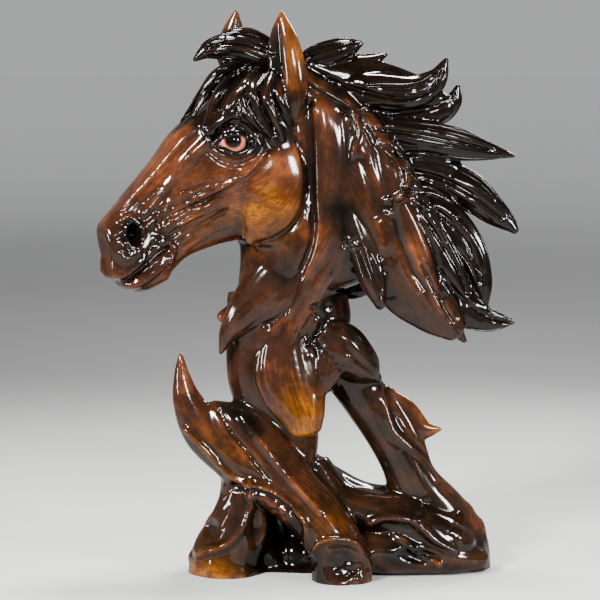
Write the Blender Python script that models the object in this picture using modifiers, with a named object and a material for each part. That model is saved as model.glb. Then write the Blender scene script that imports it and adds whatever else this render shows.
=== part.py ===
"""Horse head sculpture: a horse's head and blown mane rising out of gnarled roots, cast as one piece.

Metres, +Z up. The origin is on the table, under the middle of the work; the nose points to -X and
the horse's left cheek faces -Y. The pose and the carving are shares of the work's own height.
"""

import math

import bmesh
import bpy
import numpy as np
from mathutils import Matrix, Vector
from mathutils.bvhtree import BVHTree

# Driving sizes, in metres and radians
HEIGHT = 0.360
HEAD_TURN = math.radians(20)

# One share is a 360th of the height, which is a millimetre at the size above
SHARE = HEIGHT / 360

# How finely the skin is worked, and how many triangles it keeps
SKIN_STEP = 1.6 * SHARE
MOST_TRIANGLES = 9600

# Where the turn of the head has its axis
HEAD_PIVOT = (-11, 0, 0)

# Skull stations, nose to poll, in the head's own plane of symmetry: top x and z, underside x and z,
# then half widths at the bridge, brow, middle, jaw and underside
SKULL = [
    (-124, 219, -121, 205, 3, 7, 8, 7, 3),
    (-126, 226, -117, 194, 9, 14, 16, 13, 8),
    (-121, 233, -106, 188, 9, 15, 19, 16, 10),
    (-114, 240, -94, 187, 9, 14, 18, 17, 11),
    (-107, 249, -83, 193, 9, 13, 16, 15, 10),
    (-98, 259, -71, 204, 10, 14, 16, 14, 9),
    (-88, 271, -56, 210, 11, 16, 18, 14, 8),
    (-80, 282, -40, 214, 13, 19, 22, 16, 9),
    (-69, 292, -23, 215, 15, 24, 26, 20, 11),
    (-54, 304, -3, 219, 17, 27, 28, 24, 14),
    (-42, 314, 7, 230, 18, 27, 28, 26, 15),
    (-27, 321, 12, 252, 17, 24, 25, 22, 14),
    (-12, 321, 15, 278, 12, 17, 17, 14, 9),
]
SKULL_LEVELS = (0.04, 0.22, 0.5, 0.76, 0.95)

# Forms of the face on its near half, in the head's own plane: x, y, z, half width, half thickness
FACE = {
    "cheek": [
        (-24, -18, 278, 12, 8), (-17, -21, 262, 23, 9), (-16, -21, 242, 26, 9), (-24, -18, 224, 17, 8),
        (-29, -14, 217, 7, 5),
    ],
    "brow": [(-62, -19, 285, 5, 6), (-52, -24, 293, 6, 6), (-41, -25, 292, 6, 6), (-32, -22, 284, 5, 6)],
    "chin": [(-112, -2, 195, 7, 10), (-101, -3, 192, 8, 12), (-88, -3, 196, 7, 11)],
    "upper_lip": [(-121, -5, 200, 8, 10), (-107, -7, 202, 8, 11), (-94, -8, 207, 5, 9)],
}

# Limbs: x, y, z of the middle line, half width across the broad side, half thickness
NECK = {
    "neck": [
        (-10, -2, 317, 17, 17), (7, 0, 290, 32, 24), (16, 0, 262, 44, 26), (13, 0, 238, 50, 27),
        (-1, 0, 213, 48, 27), (-11, 0, 190, 33, 23), (-13, 0, 170, 33, 21), (-16, 0, 146, 30, 19),
    ],
    "crest": [
        (-4, 0, 322, 12, 13), (21, 2, 314, 19, 12), (50, 2, 304, 22, 10), (78, 0, 299, 16, 7),
        (89, 0, 298, 8, 4),
    ],
    "mane_root": [(24, 0, 290, 24, 14), (56, 0, 271, 26, 12), (78, 0, 254, 24, 9), (94, 0, 240, 14, 5)],
    "near_cape": [
        (21, -12, 291, 20, 10), (41, -17, 253, 26, 11), (57, -19, 219, 28, 9), (68, -18, 190, 26, 8),
        (82, -17, 170, 17, 6.5), (94, -16, 157, 8, 4.5),
    ],
    "far_cape": [
        (24, 12, 290, 20, 10), (42, 17, 251, 26, 11), (58, 20, 216, 26, 9), (68, 20, 188, 22, 8),
        (81, 19, 168, 14, 6), (93, 18, 157, 6, 4),
    ],
    "far_skirt": [(12, 17, 245, 24, 8), (21, 20, 216, 22, 8), (28, 19, 194, 17, 6), (31, 17, 178, 10, 4)],
}
ROOTS = {
    "stem": [
        (-17, 0, 176, 34, 20), (-21, 2, 148, 31, 19), (-23, 2, 122, 27, 18), (-14, 0, 103, 22, 18),
        (-8, -4, 87, 16, 14), (-6, -8, 72, 12, 11),
    ],
    "waist": [(5, 0, 176, 18, 15), (9, 0, 152, 17, 14), (14, 0, 130, 14, 13)],
    "diagonal": [
        (-66, -4, 105, 9, 8), (-51, -8, 92, 22, 13), (-34, -11, 77, 26, 16), (-13, -16, 57, 20, 17),
        (6, -22, 38, 18, 18), (19, -28, 20, 18, 18), (22, -30, 6, 19, 18), (22, -30, -12, 19, 18),
    ],
    "horn": [
        (-81, -4, 142, 1.6, 1.6), (-80, -5, 127, 5.5, 5), (-76, -6, 110, 10, 8), (-65, -8, 91, 14, 11),
        (-44, -10, 74, 16, 13),
    ],
    "left_leg": [
        (-43, -4, 67, 12, 14), (-41, -5, 47, 16, 17), (-45, -5, 27, 20, 21), (-51, -2, 9, 24, 26),
        (-52, -2, -14, 26, 28),
    ],
    "left_lump": [(-48, -8, 2, 7, 9), (-61, -8, 6, 8, 9), (-71, -4, 9, 6, 7)],
    "back_root": [
        (-7, 4, 70, 12, 14), (12, 4, 56, 13, 15), (34, 6, 42, 15, 17), (60, 10, 32, 20, 19),
        (84, 12, 18, 24, 20),
    ],
    "front_mass": [
        (7, 0, 71, 7, 12), (21, -4, 50, 10, 15), (39, -8, 41, 13, 16), (60, -8, 35, 15, 17),
        (80, -8, 27, 14, 17), (97, -4, 20, 12, 16),
    ],
    "lower_front": [
        (28, -14, 15, 10, 13), (48, -15, 15, 14, 15), (71, -13, 14, 14, 15), (93, -8, 11, 12, 15),
        (109, -2, 9, 8, 13),
    ],
    "back_wall": [
        (-66, 16, 16, 7, 8), (-54, 19, 21, 17, 13), (-36, 21, 26, 26, 13), (-14, 20, 28, 30, 13),
        (12, 14, 30, 30, 14), (36, 16, 24, 22, 14), (64, 18, 18, 20, 14),
    ],
    "strut": [
        (27, 2, 128, 16, 13), (40, 2, 108, 15, 13), (52, 2, 90, 15, 13), (62, 2, 71, 15, 13),
        (71, 4, 52, 18, 15), (84, 9, 34, 21, 19), (98, 12, 16, 20, 22), (100, 12, -12, 20, 22),
    ],
    "strut_edge": [
        (50, 3, 118, 4, 4), (62, 3, 99, 9, 5), (70, 3, 80, 7, 6), (77, 4, 60, 7, 7), (88, 8, 42, 8, 9),
    ],
    "thorn": [(47, 4, 119, 3, 4), (61, 4, 104, 9, 5), (74, 2, 92, 7, 4), (86, 0, 92, 1.8, 2)],
    "right_foot": [(62, 8, 43, 12, 16), (84, 10, 34, 17, 20), (97, 12, 27, 17, 21), (104, 12, 23, 13, 17)],
    "rear_foot": [(0, 14, 52, 14, 12), (4, 24, 30, 17, 16), (8, 28, 8, 20, 18), (8, 28, -12, 20, 18)],
    "plinth": [
        (-70, 10, -2, 3, 10), (-37, 12, -2, 6, 20), (9, 12, -1, 8, 24), (61, 12, -1, 8, 20),
        (102, 12, -2, 6, 20), (109, 10, -2, 4, 14),
    ],
}
FLAPS = {
    "tongue": [
        (-10, -12, 164, 12, 6), (-12, -14, 148, 18, 7), (-11, -16, 132, 22, 8),
        (-7, -18, 117, 20, 8.5), (-3, -20, 105, 15, 8), (-1, -21, 96, 11, 6.5),
    ],
    "second_tongue": [
        (12, -12, 152, 8, 6), (15, -15, 141, 10, 7), (13, -17, 131, 9, 6.5), (10, -18, 122, 6, 4.5),
    ],
    "collar": [
        (10, -8, 156, 10, 12), (20, -9, 148, 16, 14), (29, -7, 139, 15, 14), (38, -5, 131, 11, 11),
        (44, -3, 126, 4, 6),
    ],
    "knob": [(17, 2, 178, 9, 9), (19, 2, 165, 9, 9), (18, 2, 153, 8, 8)],
    "throat_flame": [
        (-4, -12, 204, 18, 9), (-22, -14, 185, 19, 9), (-38, -14, 170, 13, 8), (-49, -12, 157, 7, 6),
        (-55, -10, 143, 1.5, 2.2),
    ],
    "throat_lobe": [(-3, -16, 195, 13, 7), (-13, -18, 180, 10, 6), (-22, -17, 168, 3, 3)],
    "throat_knob": [(-43, -2, 171, 6, 8), (-54, -2, 165, 4, 5)],
    "waist_fold": [
        (24, -14, 227, 12, 8), (14, -17, 209, 11, 8), (4, -17, 190, 10, 8), (-4, -16, 172, 9, 7),
        (-11, -16, 155, 7, 6), (-13, -18, 139, 4, 4),
    ],
}
MANE = {
    "tuft_front": [(-4, -2, 325, 7, 8), (9, -3, 330, 8.5, 8), (24, -4, 335, 7, 7), (34, -5, 339, 2, 2.5)],
    "tuft_back": [(3, 4, 317, 10, 8), (24, 3, 323, 9, 7), (39, 2, 327, 5, 5), (50, 2, 332, 1.5, 1.8)],
    "lock_up": [
        (15, -2, 307, 12, 10), (41, -4, 308, 13, 9), (66, -6, 308, 11, 8), (81, -7, 316, 7.5, 5.5),
        (88, -7, 329, 1.5, 2),
    ],
    "lock_hook": [(54, 5, 295, 12, 8), (80, 4, 296, 10, 7), (92, 3, 302, 6, 5), (96, 2, 312, 1.5, 2)],
    "lock_long": [
        (39, -4, 283, 13, 9), (65, -5, 279, 13, 9), (91, -6, 276, 10.5, 7), (111, -6, 272, 6.5, 5),
        (131, -6, 268, 1.3, 1.8),
    ],
    "lock_low": [
        (46, 2, 262, 14, 10), (75, 2, 256, 13, 9), (101, 0, 246, 12.5, 8), (118, -2, 233, 9, 6),
        (128, -3, 225, 5.5, 4.5), (132, -4, 221, 3, 3),
    ],
    "lock_fall": [
        (59, -4, 245, 14, 9), (82, -8, 231, 14, 8), (101, -10, 211, 11.5, 7), (111, -10, 189, 7, 5),
        (114, -10, 173, 1.5, 2),
    ],
    "lock_web": [(70, -6, 226, 14, 5), (86, -9, 202, 13, 5), (97, -10, 182, 10, 4), (104, -10, 172, 4, 3)],
    "lock_inner": [
        (62, -13, 237, 9, 6), (78, -17, 215, 10, 6), (92, -17, 193, 8, 5), (102, -15, 176, 2.5, 2.5),
    ],
    "lock_flip": [
        (77, -8, 201, 13, 8), (92, -10, 177, 13, 7), (113, -10, 164, 7.5, 5), (131, -9, 162, 1.5, 1.8),
    ],
    "lock_under": [(75, -13, 186, 13, 7), (86, -15, 169, 10, 6), (100, -14, 151, 1.8, 2)],
    "fin": [
        (27, -18, 238, 12, 7), (36, -23, 210, 10, 6), (42, -24, 188, 7.5, 5.5), (46, -23, 175, 3.6, 3.8),
    ],
}
# The forelock's two raised wisps over the poll
WISPS = {
    "big": [
        (-18, -6, 326, 7, 6), (-32, -13, 334, 8.5, 7), (-47, -19, 337, 8, 6.5), (-61, -24, 335, 5.5, 5),
        (-70, -27, 329, 1.6, 1.8),
    ],
    "top": [
        (-18, -2, 332, 6, 5), (-32, -9, 342, 5, 4.5), (-43, -15, 345, 3.8, 3.5),
        (-54, -19, 344, 1.2, 1.4),
    ],
}
# Strands that lie on the skin: x, height over the skin, z, half width, half thickness
STRANDS = {
    "first": [(-29, 2, 327, 4, 4), (-43, 3, 321, 3.6, 4), (-56, 3, 308, 3, 3.5), (-64, 1, 287, 1, 1.4)],
    "second": [(-31, 2, 328, 4, 4), (-49, 3, 324, 3.6, 4), (-63, 3, 310, 3, 3.5), (-72, 1, 293, 1, 1.4)],
    "third": [(-41, 2, 327, 4, 4), (-58, 3, 319, 3.6, 4), (-69, 3, 303, 3, 3.5), (-79, 1, 290, 1, 1.4)],
    "fourth": [(-27, 2, 323, 4, 4), (-40, 3, 311, 3.6, 3.5), (-49, 3, 299, 3, 3), (-54, 1, 285, 1, 1.4)],
    "fifth": [(-26, 2, 323, 3.5, 4), (-34, 3, 313, 3, 3.5), (-40, 3, 303, 2.5, 3), (-43, 1, 293, 1, 1.4)],
    "sixth": [(-24, 2, 322, 4, 4), (-34, 4, 311, 3.5, 3.5), (-32, 3, 299, 3, 3), (-23, 1, 281, 1, 1.4)],
    "seventh": [(-22, 2, 319, 4, 4), (-26, 3, 306, 3.5, 3.5), (-21, 3, 294, 2.8, 3), (-15, 1, 280, 1, 1.4)],
    "eighth": [
        (-27, 3, 324, 3, 3.5), (-38, 4, 315, 3, 3), (-42, 4, 305, 2.6, 3), (-36, 3, 294, 2.2, 2.5),
        (-29, 1, 285, 1, 1.4),
    ],
    "ninth": [(-33, 2, 326, 4, 4), (-49, 3, 315, 3.5, 3.5), (-59, 3, 300, 3, 3), (-62, 1, 283, 1, 1.4)],
    "tenth": [(-19, 2, 316, 3.5, 3.5), (-17, 3, 304, 3, 3), (-10, 1, 289, 1, 1.4)],
}
# The ears' sixth number is how deep the shell is hollowed
EARS = {
    "near": [
        (-9, -13, 284, 6, 5, 0), (-11, -21, 299, 9.5, 8, 0.1), (-12, -23, 313, 12.5, 9, 0.6),
        (-15, -23, 329, 13, 8.5, 1.15), (-16, -22, 344, 9.5, 6, 1.0), (-16, -20, 358, 1.5, 1.6, 0),
    ],
    "far": [
        (-35, 14, 304, 9, 8, 0), (-41, 12, 320, 11, 9, 0.6), (-47, 8, 334, 12.5, 8, 1.15),
        (-47, 6, 346, 8, 6, 1.0), (-45, 4, 359, 1.5, 1.6, 0),
    ],
}
NEAR_EAR_MOUTH = math.radians(-44)
FAR_EAR_MOUTH = math.radians(70)
EAR_MOUTH_WIDTH = 0.85
# Forms that the far side repeats
BOTH_SIDES = ("tongue", "throat_flame", "waist_fold", "fin", "lock_inner", "lock_under", "lock_flip")

# An eyeball in the head's own plane: x, y, z and radius
EYEBALL = (-47, 23.5, 279, 9)

# Hollows: x, z, half length, half width, tilt in degrees, depth
FACE_HOLLOWS = {
    "eye_socket": (-47, 279, 15, 10, 0, 7),
    "nostril": (-110, 225, 5.5, 9, 20, 11),
    "nostril_corner": (-106, 219, 3.5, 7, 25, 5),
    "under_cheek_bone": (-58, 246, 18, 8, 35, 2.5),
    "nose_side": (-86, 250, 22, 7, 52, 2),
}
ROOT_HOLLOWS = {
    "right_cave": (72, 14, 17, 6, -10, 6),
    "left_cave": (-62, 30, 8, 7, 40, 5),
    "leg_fold": (-33, 34, 7, 16, 0, 5),
    "stump_face": (22, 12, 14, 12, 0, 4),
    "collar_dip": (20, 138, 6, 9, 20, 3),
}

# Carved lines: half width, height (a groove is below zero) and x, z points
LID_MARKS = {
    "upper_lid": (2.6, 3.4, [(-58, 277), (-54, 283), (-47, 287), (-40, 285), (-35, 278)]),
    "lower_lid": (2.4, 2.4, [(-58, 277), (-52, 273), (-46, 271), (-40, 273), (-35, 278)]),
}
FACE_MARKS = {
    "cheek_rear": (3.5, -2.6, [(-3, 278), (1, 262), (1, 246), (-4, 230), (-14, 219), (-28, 213)]),
    "brow": (4.5, 2.5, [(-61, 285), (-54, 292), (-45, 297), (-35, 294), (-27, 286)]),
    "lid_fold": (1.8, -1.6, [(-58, 286), (-51, 291), (-43, 292), (-36, 288), (-29, 280)]),
    "bag_fold": (2.2, -1.8, [(-61, 272), (-53, 266), (-43, 264), (-33, 268), (-27, 275)]),
    "cheek_edge": (3.0, 2.4, [(-26, 273), (-34, 263), (-45, 255), (-55, 250), (-69, 244)]),
    "tear_ridge": (4.0, 2.4, [(-62, 279), (-74, 267), (-83, 255), (-93, 243), (-101, 234)]),
    "upper_vein": (3.0, 1.2, [(-53, 249), (-68, 243), (-82, 238), (-92, 232), (-102, 225)]),
    "lower_vein": (3.0, 1.2, [(-56, 241), (-69, 234), (-83, 227), (-94, 218)]),
    "vein_gap": (2.6, -1.2, [(-57, 245), (-72, 238), (-85, 232), (-97, 222)]),
    "jaw_line": (2.4, -1.4, [(-48, 235), (-60, 229), (-72, 222), (-83, 215)]),
    "nostril_rim": (2.4, 2.2, [
        (-121, 221), (-122, 229), (-116, 235), (-107, 236), (-100, 230), (-98, 221), (-102, 212),
        (-110, 207), (-117, 208), (-121, 214),
    ]),
    "nostril_fold": (2.8, -2.0, [(-92, 236), (-92, 223), (-97, 212), (-103, 202)]),
    "mouth": (2.2, -4.0, [(-124, 193), (-115, 191), (-106, 197), (-98, 204), (-92, 209), (-86, 212)]),
    "mouth_corner": (2.8, 2.4, [(-93, 216), (-86, 217), (-82, 212), (-84, 205)]),
    "lower_lip": (3.4, 2.0, [(-108, 189), (-99, 194), (-91, 200), (-86, 206)]),
    "bridge": (3.0, 1.6, [(-66, 290), (-79, 276), (-92, 260), (-106, 245), (-114, 236)]),
    "temple": (5.0, -3.0, [(-20, 288), (-25, 281), (-22, 274)]),
}
NECK_MARKS = {
    "throat_valley": (5.0, -3.2, [
        (1, 301), (2, 272), (3, 241), (4, 217), (-3, 196), (-13, 176), (-25, 162),
    ]),
    "first_fold": (8.0, 1.8, [(9, 299), (11, 266), (12, 241), (9, 213), (-1, 188), (-8, 162)]),
    "second_valley": (6.0, -1.4, [(22, 296), (24, 263), (22, 235), (26, 219)]),
    "second_fold": (8.0, 1.6, [(31, 288), (37, 257), (43, 234), (48, 213)]),
    "third_valley": (5.5, -1.4, [(41, 284), (48, 251), (50, 226), (53, 205)]),
    "panel": (9.0, 2.0, [(56, 260), (63, 232), (73, 202)]),
    "panel_edge": (3.0, -2.2, [(60, 247), (73, 224), (82, 202), (86, 178)]),
    "crest_cord": (2.0, 1.8, [(-1, 317), (12, 308), (27, 300), (37, 291), (46, 276)]),
    "crest_valley": (3.0, -2.0, [(2, 323), (18, 314), (34, 305), (46, 294), (55, 280)]),
    "loop_cord": (1.8, 1.2, [(24, 304), (31, 290), (32, 277), (28, 267)]),
    "back_cord": (2.0, 1.6, [(45, 279), (56, 275), (63, 265), (64, 253), (57, 242), (54, 232)]),
}
ROOT_MARKS = {
    "slab_rim": (2.8, 3.0, [
        (-77, 94), (-63, 80), (-49, 66), (-37, 61), (-21, 56), (-11, 49), (-1, 38), (0, 26), (1, 10),
    ]),
    "under_rim": (4.0, -3.5, [(-46, 58), (-27, 55), (-11, 45)]),
    "slab_crack": (2.0, -2.8, [(-56, 106), (-48, 93), (-36, 79), (-24, 64)]),
    "slab_ridge": (3.0, 2.0, [(-42, 103), (-30, 88), (-12, 66), (8, 45)]),
    "stump_rim": (2.2, 2.4, [
        (4, 19), (6, 24), (12, 28), (25, 28), (33, 23), (38, 14), (41, 3),
    ]),
    "cave_brow": (4.0, 4.0, [(40, 36), (51, 39), (68, 36), (81, 25), (93, 17)]),
    "cave_root": (3.0, 3.0, [(56, 27), (64, 22), (72, 14), (84, 9)]),
    "leg_ridge": (4.0, 3.0, [(-36, 62), (-36, 47), (-42, 32), (-52, 21), (-70, 14)]),
    "leg_back_ridge": (3.0, 2.0, [(-52, 58), (-58, 42), (-68, 30)]),
    "strut_valley": (2.4, -2.0, [(51, 118), (58, 98), (66, 87), (77, 75), (87, 60)]),
    "strut_ridge": (3.0, 1.8, [(47, 118), (54, 94), (61, 86), (72, 75), (83, 59)]),
    "tongue_seam": (2.0, -2.6, [(8, 150), (9, 142), (12, 128), (13, 112)]),
    "tongue_edge": (2.0, 1.6, [(8, 110), (12, 100), (16, 92)]),
}
MANE_MARKS = {
    "up_parting": (2.4, -2.4, [(14, 316), (36, 309), (60, 304), (78, 309), (85, 320)]),
    "up_lower": (2.4, -2.4, [(34, 298), (58, 295), (80, 299), (92, 306)]),
    "long_parting": (2.4, -2.4, [(46, 285), (70, 282), (94, 277), (116, 272)]),
    "long_lower": (2.4, -2.4, [(56, 270), (76, 269), (100, 264)]),
    "low_parting": (2.4, -2.4, [(62, 259), (84, 254), (106, 243), (124, 229)]),
    "low_lower": (2.4, -2.4, [(62, 247), (80, 245), (98, 236), (112, 224)]),
    "fall_parting": (2.4, -2.4, [(76, 238), (92, 226), (104, 208), (110, 188)]),
    "inner_parting": (2.4, -2.4, [(66, 240), (80, 222), (94, 200), (102, 182)]),
    "flip_parting": (2.4, -2.4, [(84, 196), (98, 178), (114, 167), (128, 163)]),
    "under_parting": (2.4, -2.4, [(72, 200), (82, 182), (92, 165)]),
}


def smooth_rows(rows, steps):
    """Rows read off a smooth curve through the given rows, every column alike."""
    rows = np.array(rows, float)
    padded = np.vstack([2 * rows[0] - rows[1], rows, 2 * rows[-1] - rows[-2]])
    out = []
    for before, start, end, after in zip(padded, padded[1:], padded[2:], padded[3:]):
        for t in np.arange(steps) / steps:
            slope = end - before
            bend = 2 * before - 5 * start + 4 * end - after
            twist = 3 * start - before - 3 * end + after
            out.append(start + 0.5 * (slope * t + bend * t**2 + twist * t**3))
    return np.array(out + [rows[-1]])


def unit(vectors):
    """The same directions at length one."""
    return vectors / np.linalg.norm(vectors, axis=-1, keepdims=True)


def loft(rings):
    """A closed skin over rings of points, capped at both ends."""
    bm = bmesh.new()
    rows = [[bm.verts.new(point) for point in ring] for ring in rings]
    for low, high in zip(rows, rows[1:]):
        for k in range(len(low)):
            n = (k + 1) % len(low)
            bm.faces.new((low[k], low[n], high[n], high[k]))
    bm.faces.new(rows[0][::-1])
    bm.faces.new(rows[-1])
    bmesh.ops.recalc_face_normals(bm, faces=bm.faces)
    mesh = bpy.data.meshes.new("loft")
    bm.to_mesh(mesh)
    bm.free()
    return mesh


def round_tip(rows):
    """The rows with three more past the last, which close the form with a round tip."""
    last = rows[-1]
    way = unit(last[:3] - rows[-2, :3])
    for tilt in (0.5, 1.0, 1.35):
        row = last.copy()
        row[:3] += way * last[3:5].min() * math.sin(tilt)
        row[3:5] *= math.cos(tilt)
        rows = np.vstack([rows, row])
    return rows


def limb(stations, mouth=0.0, sides=20, steps=5):
    """A branch, flap or lock: an oval section that changes along a smooth middle line.

    A sixth number in a station hollows the section towards the mouth's direction, as in an ear.
    """
    rows = round_tip(smooth_rows(stations, steps))
    middle = rows[:, :3] * SHARE
    along = unit(np.gradient(middle, axis=0))
    thick = unit(np.array([0, 1, 0]) - along[:, 1:2] * along)
    wide = np.cross(along, thick)
    turn = np.linspace(0, 2 * math.pi, sides, endpoint=False)
    across = wide[:, None] * (np.cos(turn) * rows[:, 3:4])[..., None]
    across += thick[:, None] * (np.sin(turn) * rows[:, 4:5])[..., None]
    if rows.shape[1] > 5:
        away = np.angle(np.exp(1j * (turn - mouth)))
        across *= (1 - rows[:, 5:6] * np.exp(-((away / EAR_MOUTH_WIDTH) ** 2)))[..., None]
    return loft(middle[:, None] + across * SHARE)


def limbs(group):
    return [limb(stations) for stations in group.values()]


def laid_on(stations, skin, side):
    """A strand's stations moved to where they lie on the skin, seen square from one side."""
    rows = []
    y = 0
    for x, lift, z, *size in stations:
        hit = skin.ray_cast(Vector((x * SHARE, side * HEIGHT, z * SHARE)), Vector((0, -side, 0)))[0]
        if hit:
            y = hit.y / SHARE + side * lift
        rows.append((x, y, z, *size))
    return rows


def mirrored(stations):
    return [(x, -y, z, *size) for x, y, z, *size in stations]


def skull():
    """Sections square to the head's plane of symmetry, lofted from the nose to the poll."""
    rings = []
    for row in smooth_rows(SKULL, 4):
        top = np.array([row[0], 0, row[1]])
        bottom = np.array([row[2], 0, row[3]])
        left = [top + (bottom - top) * h - np.array([0, w, 0]) for h, w in zip(SKULL_LEVELS, row[4:])]
        right = [point * (1, -1, 1) for point in left[::-1]]
        rings.append(smooth_rows([top, *left, bottom, *right, top], 4)[:-1])
    return loft(np.array(rings) * SHARE)


def eyeball(side):
    """The front of the eye, which stands a little proud between the lids."""
    x, y, z, radius = EYEBALL
    bm = bmesh.new()
    bmesh.ops.create_uvsphere(bm, u_segments=24, v_segments=16, radius=radius * SHARE)
    bmesh.ops.translate(bm, verts=bm.verts, vec=Vector((x, side * y, z)) * SHARE)
    mesh = bpy.data.meshes.new("eyeball")
    bm.to_mesh(mesh)
    bm.free()
    return mesh


def turned(meshes):
    """Meshes made in the head's own plane, turned with the head."""
    for mesh in meshes:
        mesh.transform(Matrix.Rotation(HEAD_TURN, 4, "Z"))
        mesh.transform(Matrix.Translation(Vector(HEAD_PIVOT) * SHARE))
    return meshes


def head_frame(vectors, is_point):
    """Points or directions of the work, as seen from the head's own plane."""
    cos, sin = math.cos(HEAD_TURN), math.sin(HEAD_TURN)
    shifted = vectors - np.array(HEAD_PIVOT) * SHARE * is_point
    back = np.array([[cos, sin, 0], [-sin, cos, 0], [0, 0, 1]])
    return shifted @ back.T


def body_frame(vectors, is_point):
    """The same for the neck and the roots, whose plane is the work's own."""
    return vectors


def apply_modifiers(mesh, *settings):
    """The mesh after a list of modifiers, each one a type and its values."""
    holder = bpy.data.objects.new("holder", mesh)
    bpy.context.scene.collection.objects.link(holder)
    for kind, values in settings:
        modifier = holder.modifiers.new(kind.lower(), kind)
        for key, value in values.items():
            setattr(modifier, key, value)
    graph = bpy.context.evaluated_depsgraph_get()
    result = bpy.data.meshes.new_from_object(holder.evaluated_get(graph))
    bpy.data.objects.remove(holder)
    bpy.data.meshes.remove(mesh)
    return result


def fused(meshes, smooth_steps):
    """One skin over overlapping closed meshes, its joins softened."""
    bm = bmesh.new()
    for mesh in meshes:
        bm.from_mesh(mesh)
        bpy.data.meshes.remove(mesh)
    joined = bpy.data.meshes.new("joined")
    bm.to_mesh(joined)
    bm.free()
    return apply_modifiers(
        joined,
        ("REMESH", {"mode": "VOXEL", "voxel_size": SKIN_STEP}),
        ("SMOOTH", {"factor": 0.5, "iterations": smooth_steps}),
    )


def skin_arrays(mesh):
    """The places and the outward directions of a mesh's points."""
    count = len(mesh.vertices)
    points = np.empty(count * 3)
    normals = np.empty(count * 3)
    mesh.vertices.foreach_get("co", points)
    mesh.vertices.foreach_get("normal", normals)
    return points.reshape(-1, 3), normals.reshape(-1, 3)


def skin_tree(mesh):
    """The skin in a form that lines can be cast at."""
    bm = bmesh.new()
    bm.from_mesh(mesh)
    tree = BVHTree.FromBMesh(bm)
    bm.free()
    return tree


def from_line(points, line):
    """How far each point is from a line, seen square to X and Z."""
    best = np.full(len(points), np.inf)
    for start, end in zip(line, line[1:]):
        way = end - start
        share = np.clip((points - start) @ way / (way @ way), 0, 1)
        best = np.minimum(best, np.linalg.norm(points - start - share[:, None] * way, axis=1))
    return best


def carve(mesh, marks, frame):
    """Ridges (above zero) and grooves (below zero) along lines, on the near and the far side."""
    points, normals = skin_arrays(mesh)
    seen = frame(points, 1)[:, [0, 2]] / SHARE
    facing = np.clip(1.6 * np.abs(frame(normals, 0)[:, 1]) - 0.2, 0, 1)
    rise = np.zeros(len(points))
    for radius, height, line in marks.values():
        line = smooth_rows(line, 4)
        low, high = line.min(axis=0) - radius, line.max(axis=0) + radius
        close = np.flatnonzero(((seen > low) & (seen < high)).all(axis=1))
        reach = np.clip(from_line(seen[close], line) / radius, 0, 1)
        rise[close] += height * (1 - reach**2) ** 2
    points += normals * (rise * facing * SHARE)[:, None]
    mesh.vertices.foreach_set("co", points.ravel())
    mesh.update()


def press(mesh, hollows, frame):
    """Oval hollows pushed in square to the plane of symmetry, from the near and the far side."""
    points, normals = skin_arrays(mesh)
    seen = frame(points, 1)[:, [0, 2]] / SHARE
    side = frame(normals, 0)[:, 1]
    depth = np.zeros(len(points))
    for x, z, long, short, tilt, deep in hollows.values():
        cos, sin = math.cos(math.radians(tilt)), math.sin(math.radians(tilt))
        out = seen - (x, z)
        reach = np.hypot((out @ (cos, sin)) / long, (out @ (-sin, cos)) / short)
        depth += deep * (1 - np.clip(reach, 0, 1) ** 2) ** 1.5
    inward = frame(np.array([[0.0, 1.0, 0.0]]), 0)[0]
    inward = np.array([-inward[0], inward[1], 0])
    points -= inward * (depth * np.clip(side * 2, -1, 1) * SHARE)[:, None]
    mesh.vertices.foreach_set("co", points.ravel())
    mesh.update()


def one_shell(mesh):
    """Drops what the fusing left loose inside the skin, and leaves triangles."""
    bm = bmesh.new()
    bm.from_mesh(mesh)
    waiting = set(bm.verts)
    shells = []
    while waiting:
        shell = []
        queue = [waiting.pop()]
        while queue:
            vert = queue.pop()
            shell.append(vert)
            for edge in vert.link_edges:
                other = edge.other_vert(vert)
                if other in waiting:
                    waiting.remove(other)
                    queue.append(other)
        shells.append(shell)
    shells.sort(key=len)
    for shell in shells[:-1]:
        bmesh.ops.delete(bm, geom=shell, context="VERTS")
    bmesh.ops.triangulate(bm, faces=bm.faces)
    bm.to_mesh(mesh)
    bm.free()


def stained_resin(name):
    """Cast resin stained as dark wood under gloss lacquer."""
    material = bpy.data.materials.new(name)
    material.use_nodes = True
    shader = material.node_tree.nodes["Principled BSDF"]
    shader.inputs["Base Color"].default_value = (0.060, 0.022, 0.010, 1)
    shader.inputs["Roughness"].default_value = 0.2
    shader.inputs["Metallic"].default_value = 0.0
    return material


def collection_of(name):
    collection = bpy.data.collections.new(name)
    bpy.context.scene.collection.children.link(collection)
    return collection


def floor_cutter():
    """A block whose top is the table, to cut the feet flat."""
    bm = bmesh.new()
    bmesh.ops.create_cube(bm, size=HEIGHT * 2)
    bmesh.ops.translate(bm, verts=bm.verts, vec=(0, 0, -HEIGHT))
    mesh = bpy.data.meshes.new("floor_cutter")
    bm.to_mesh(mesh)
    bm.free()
    cutter = bpy.data.objects.new("floor_cutter", mesh)
    cutter.hide_render = True
    cutter.display_type = "WIRE"
    return cutter


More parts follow.
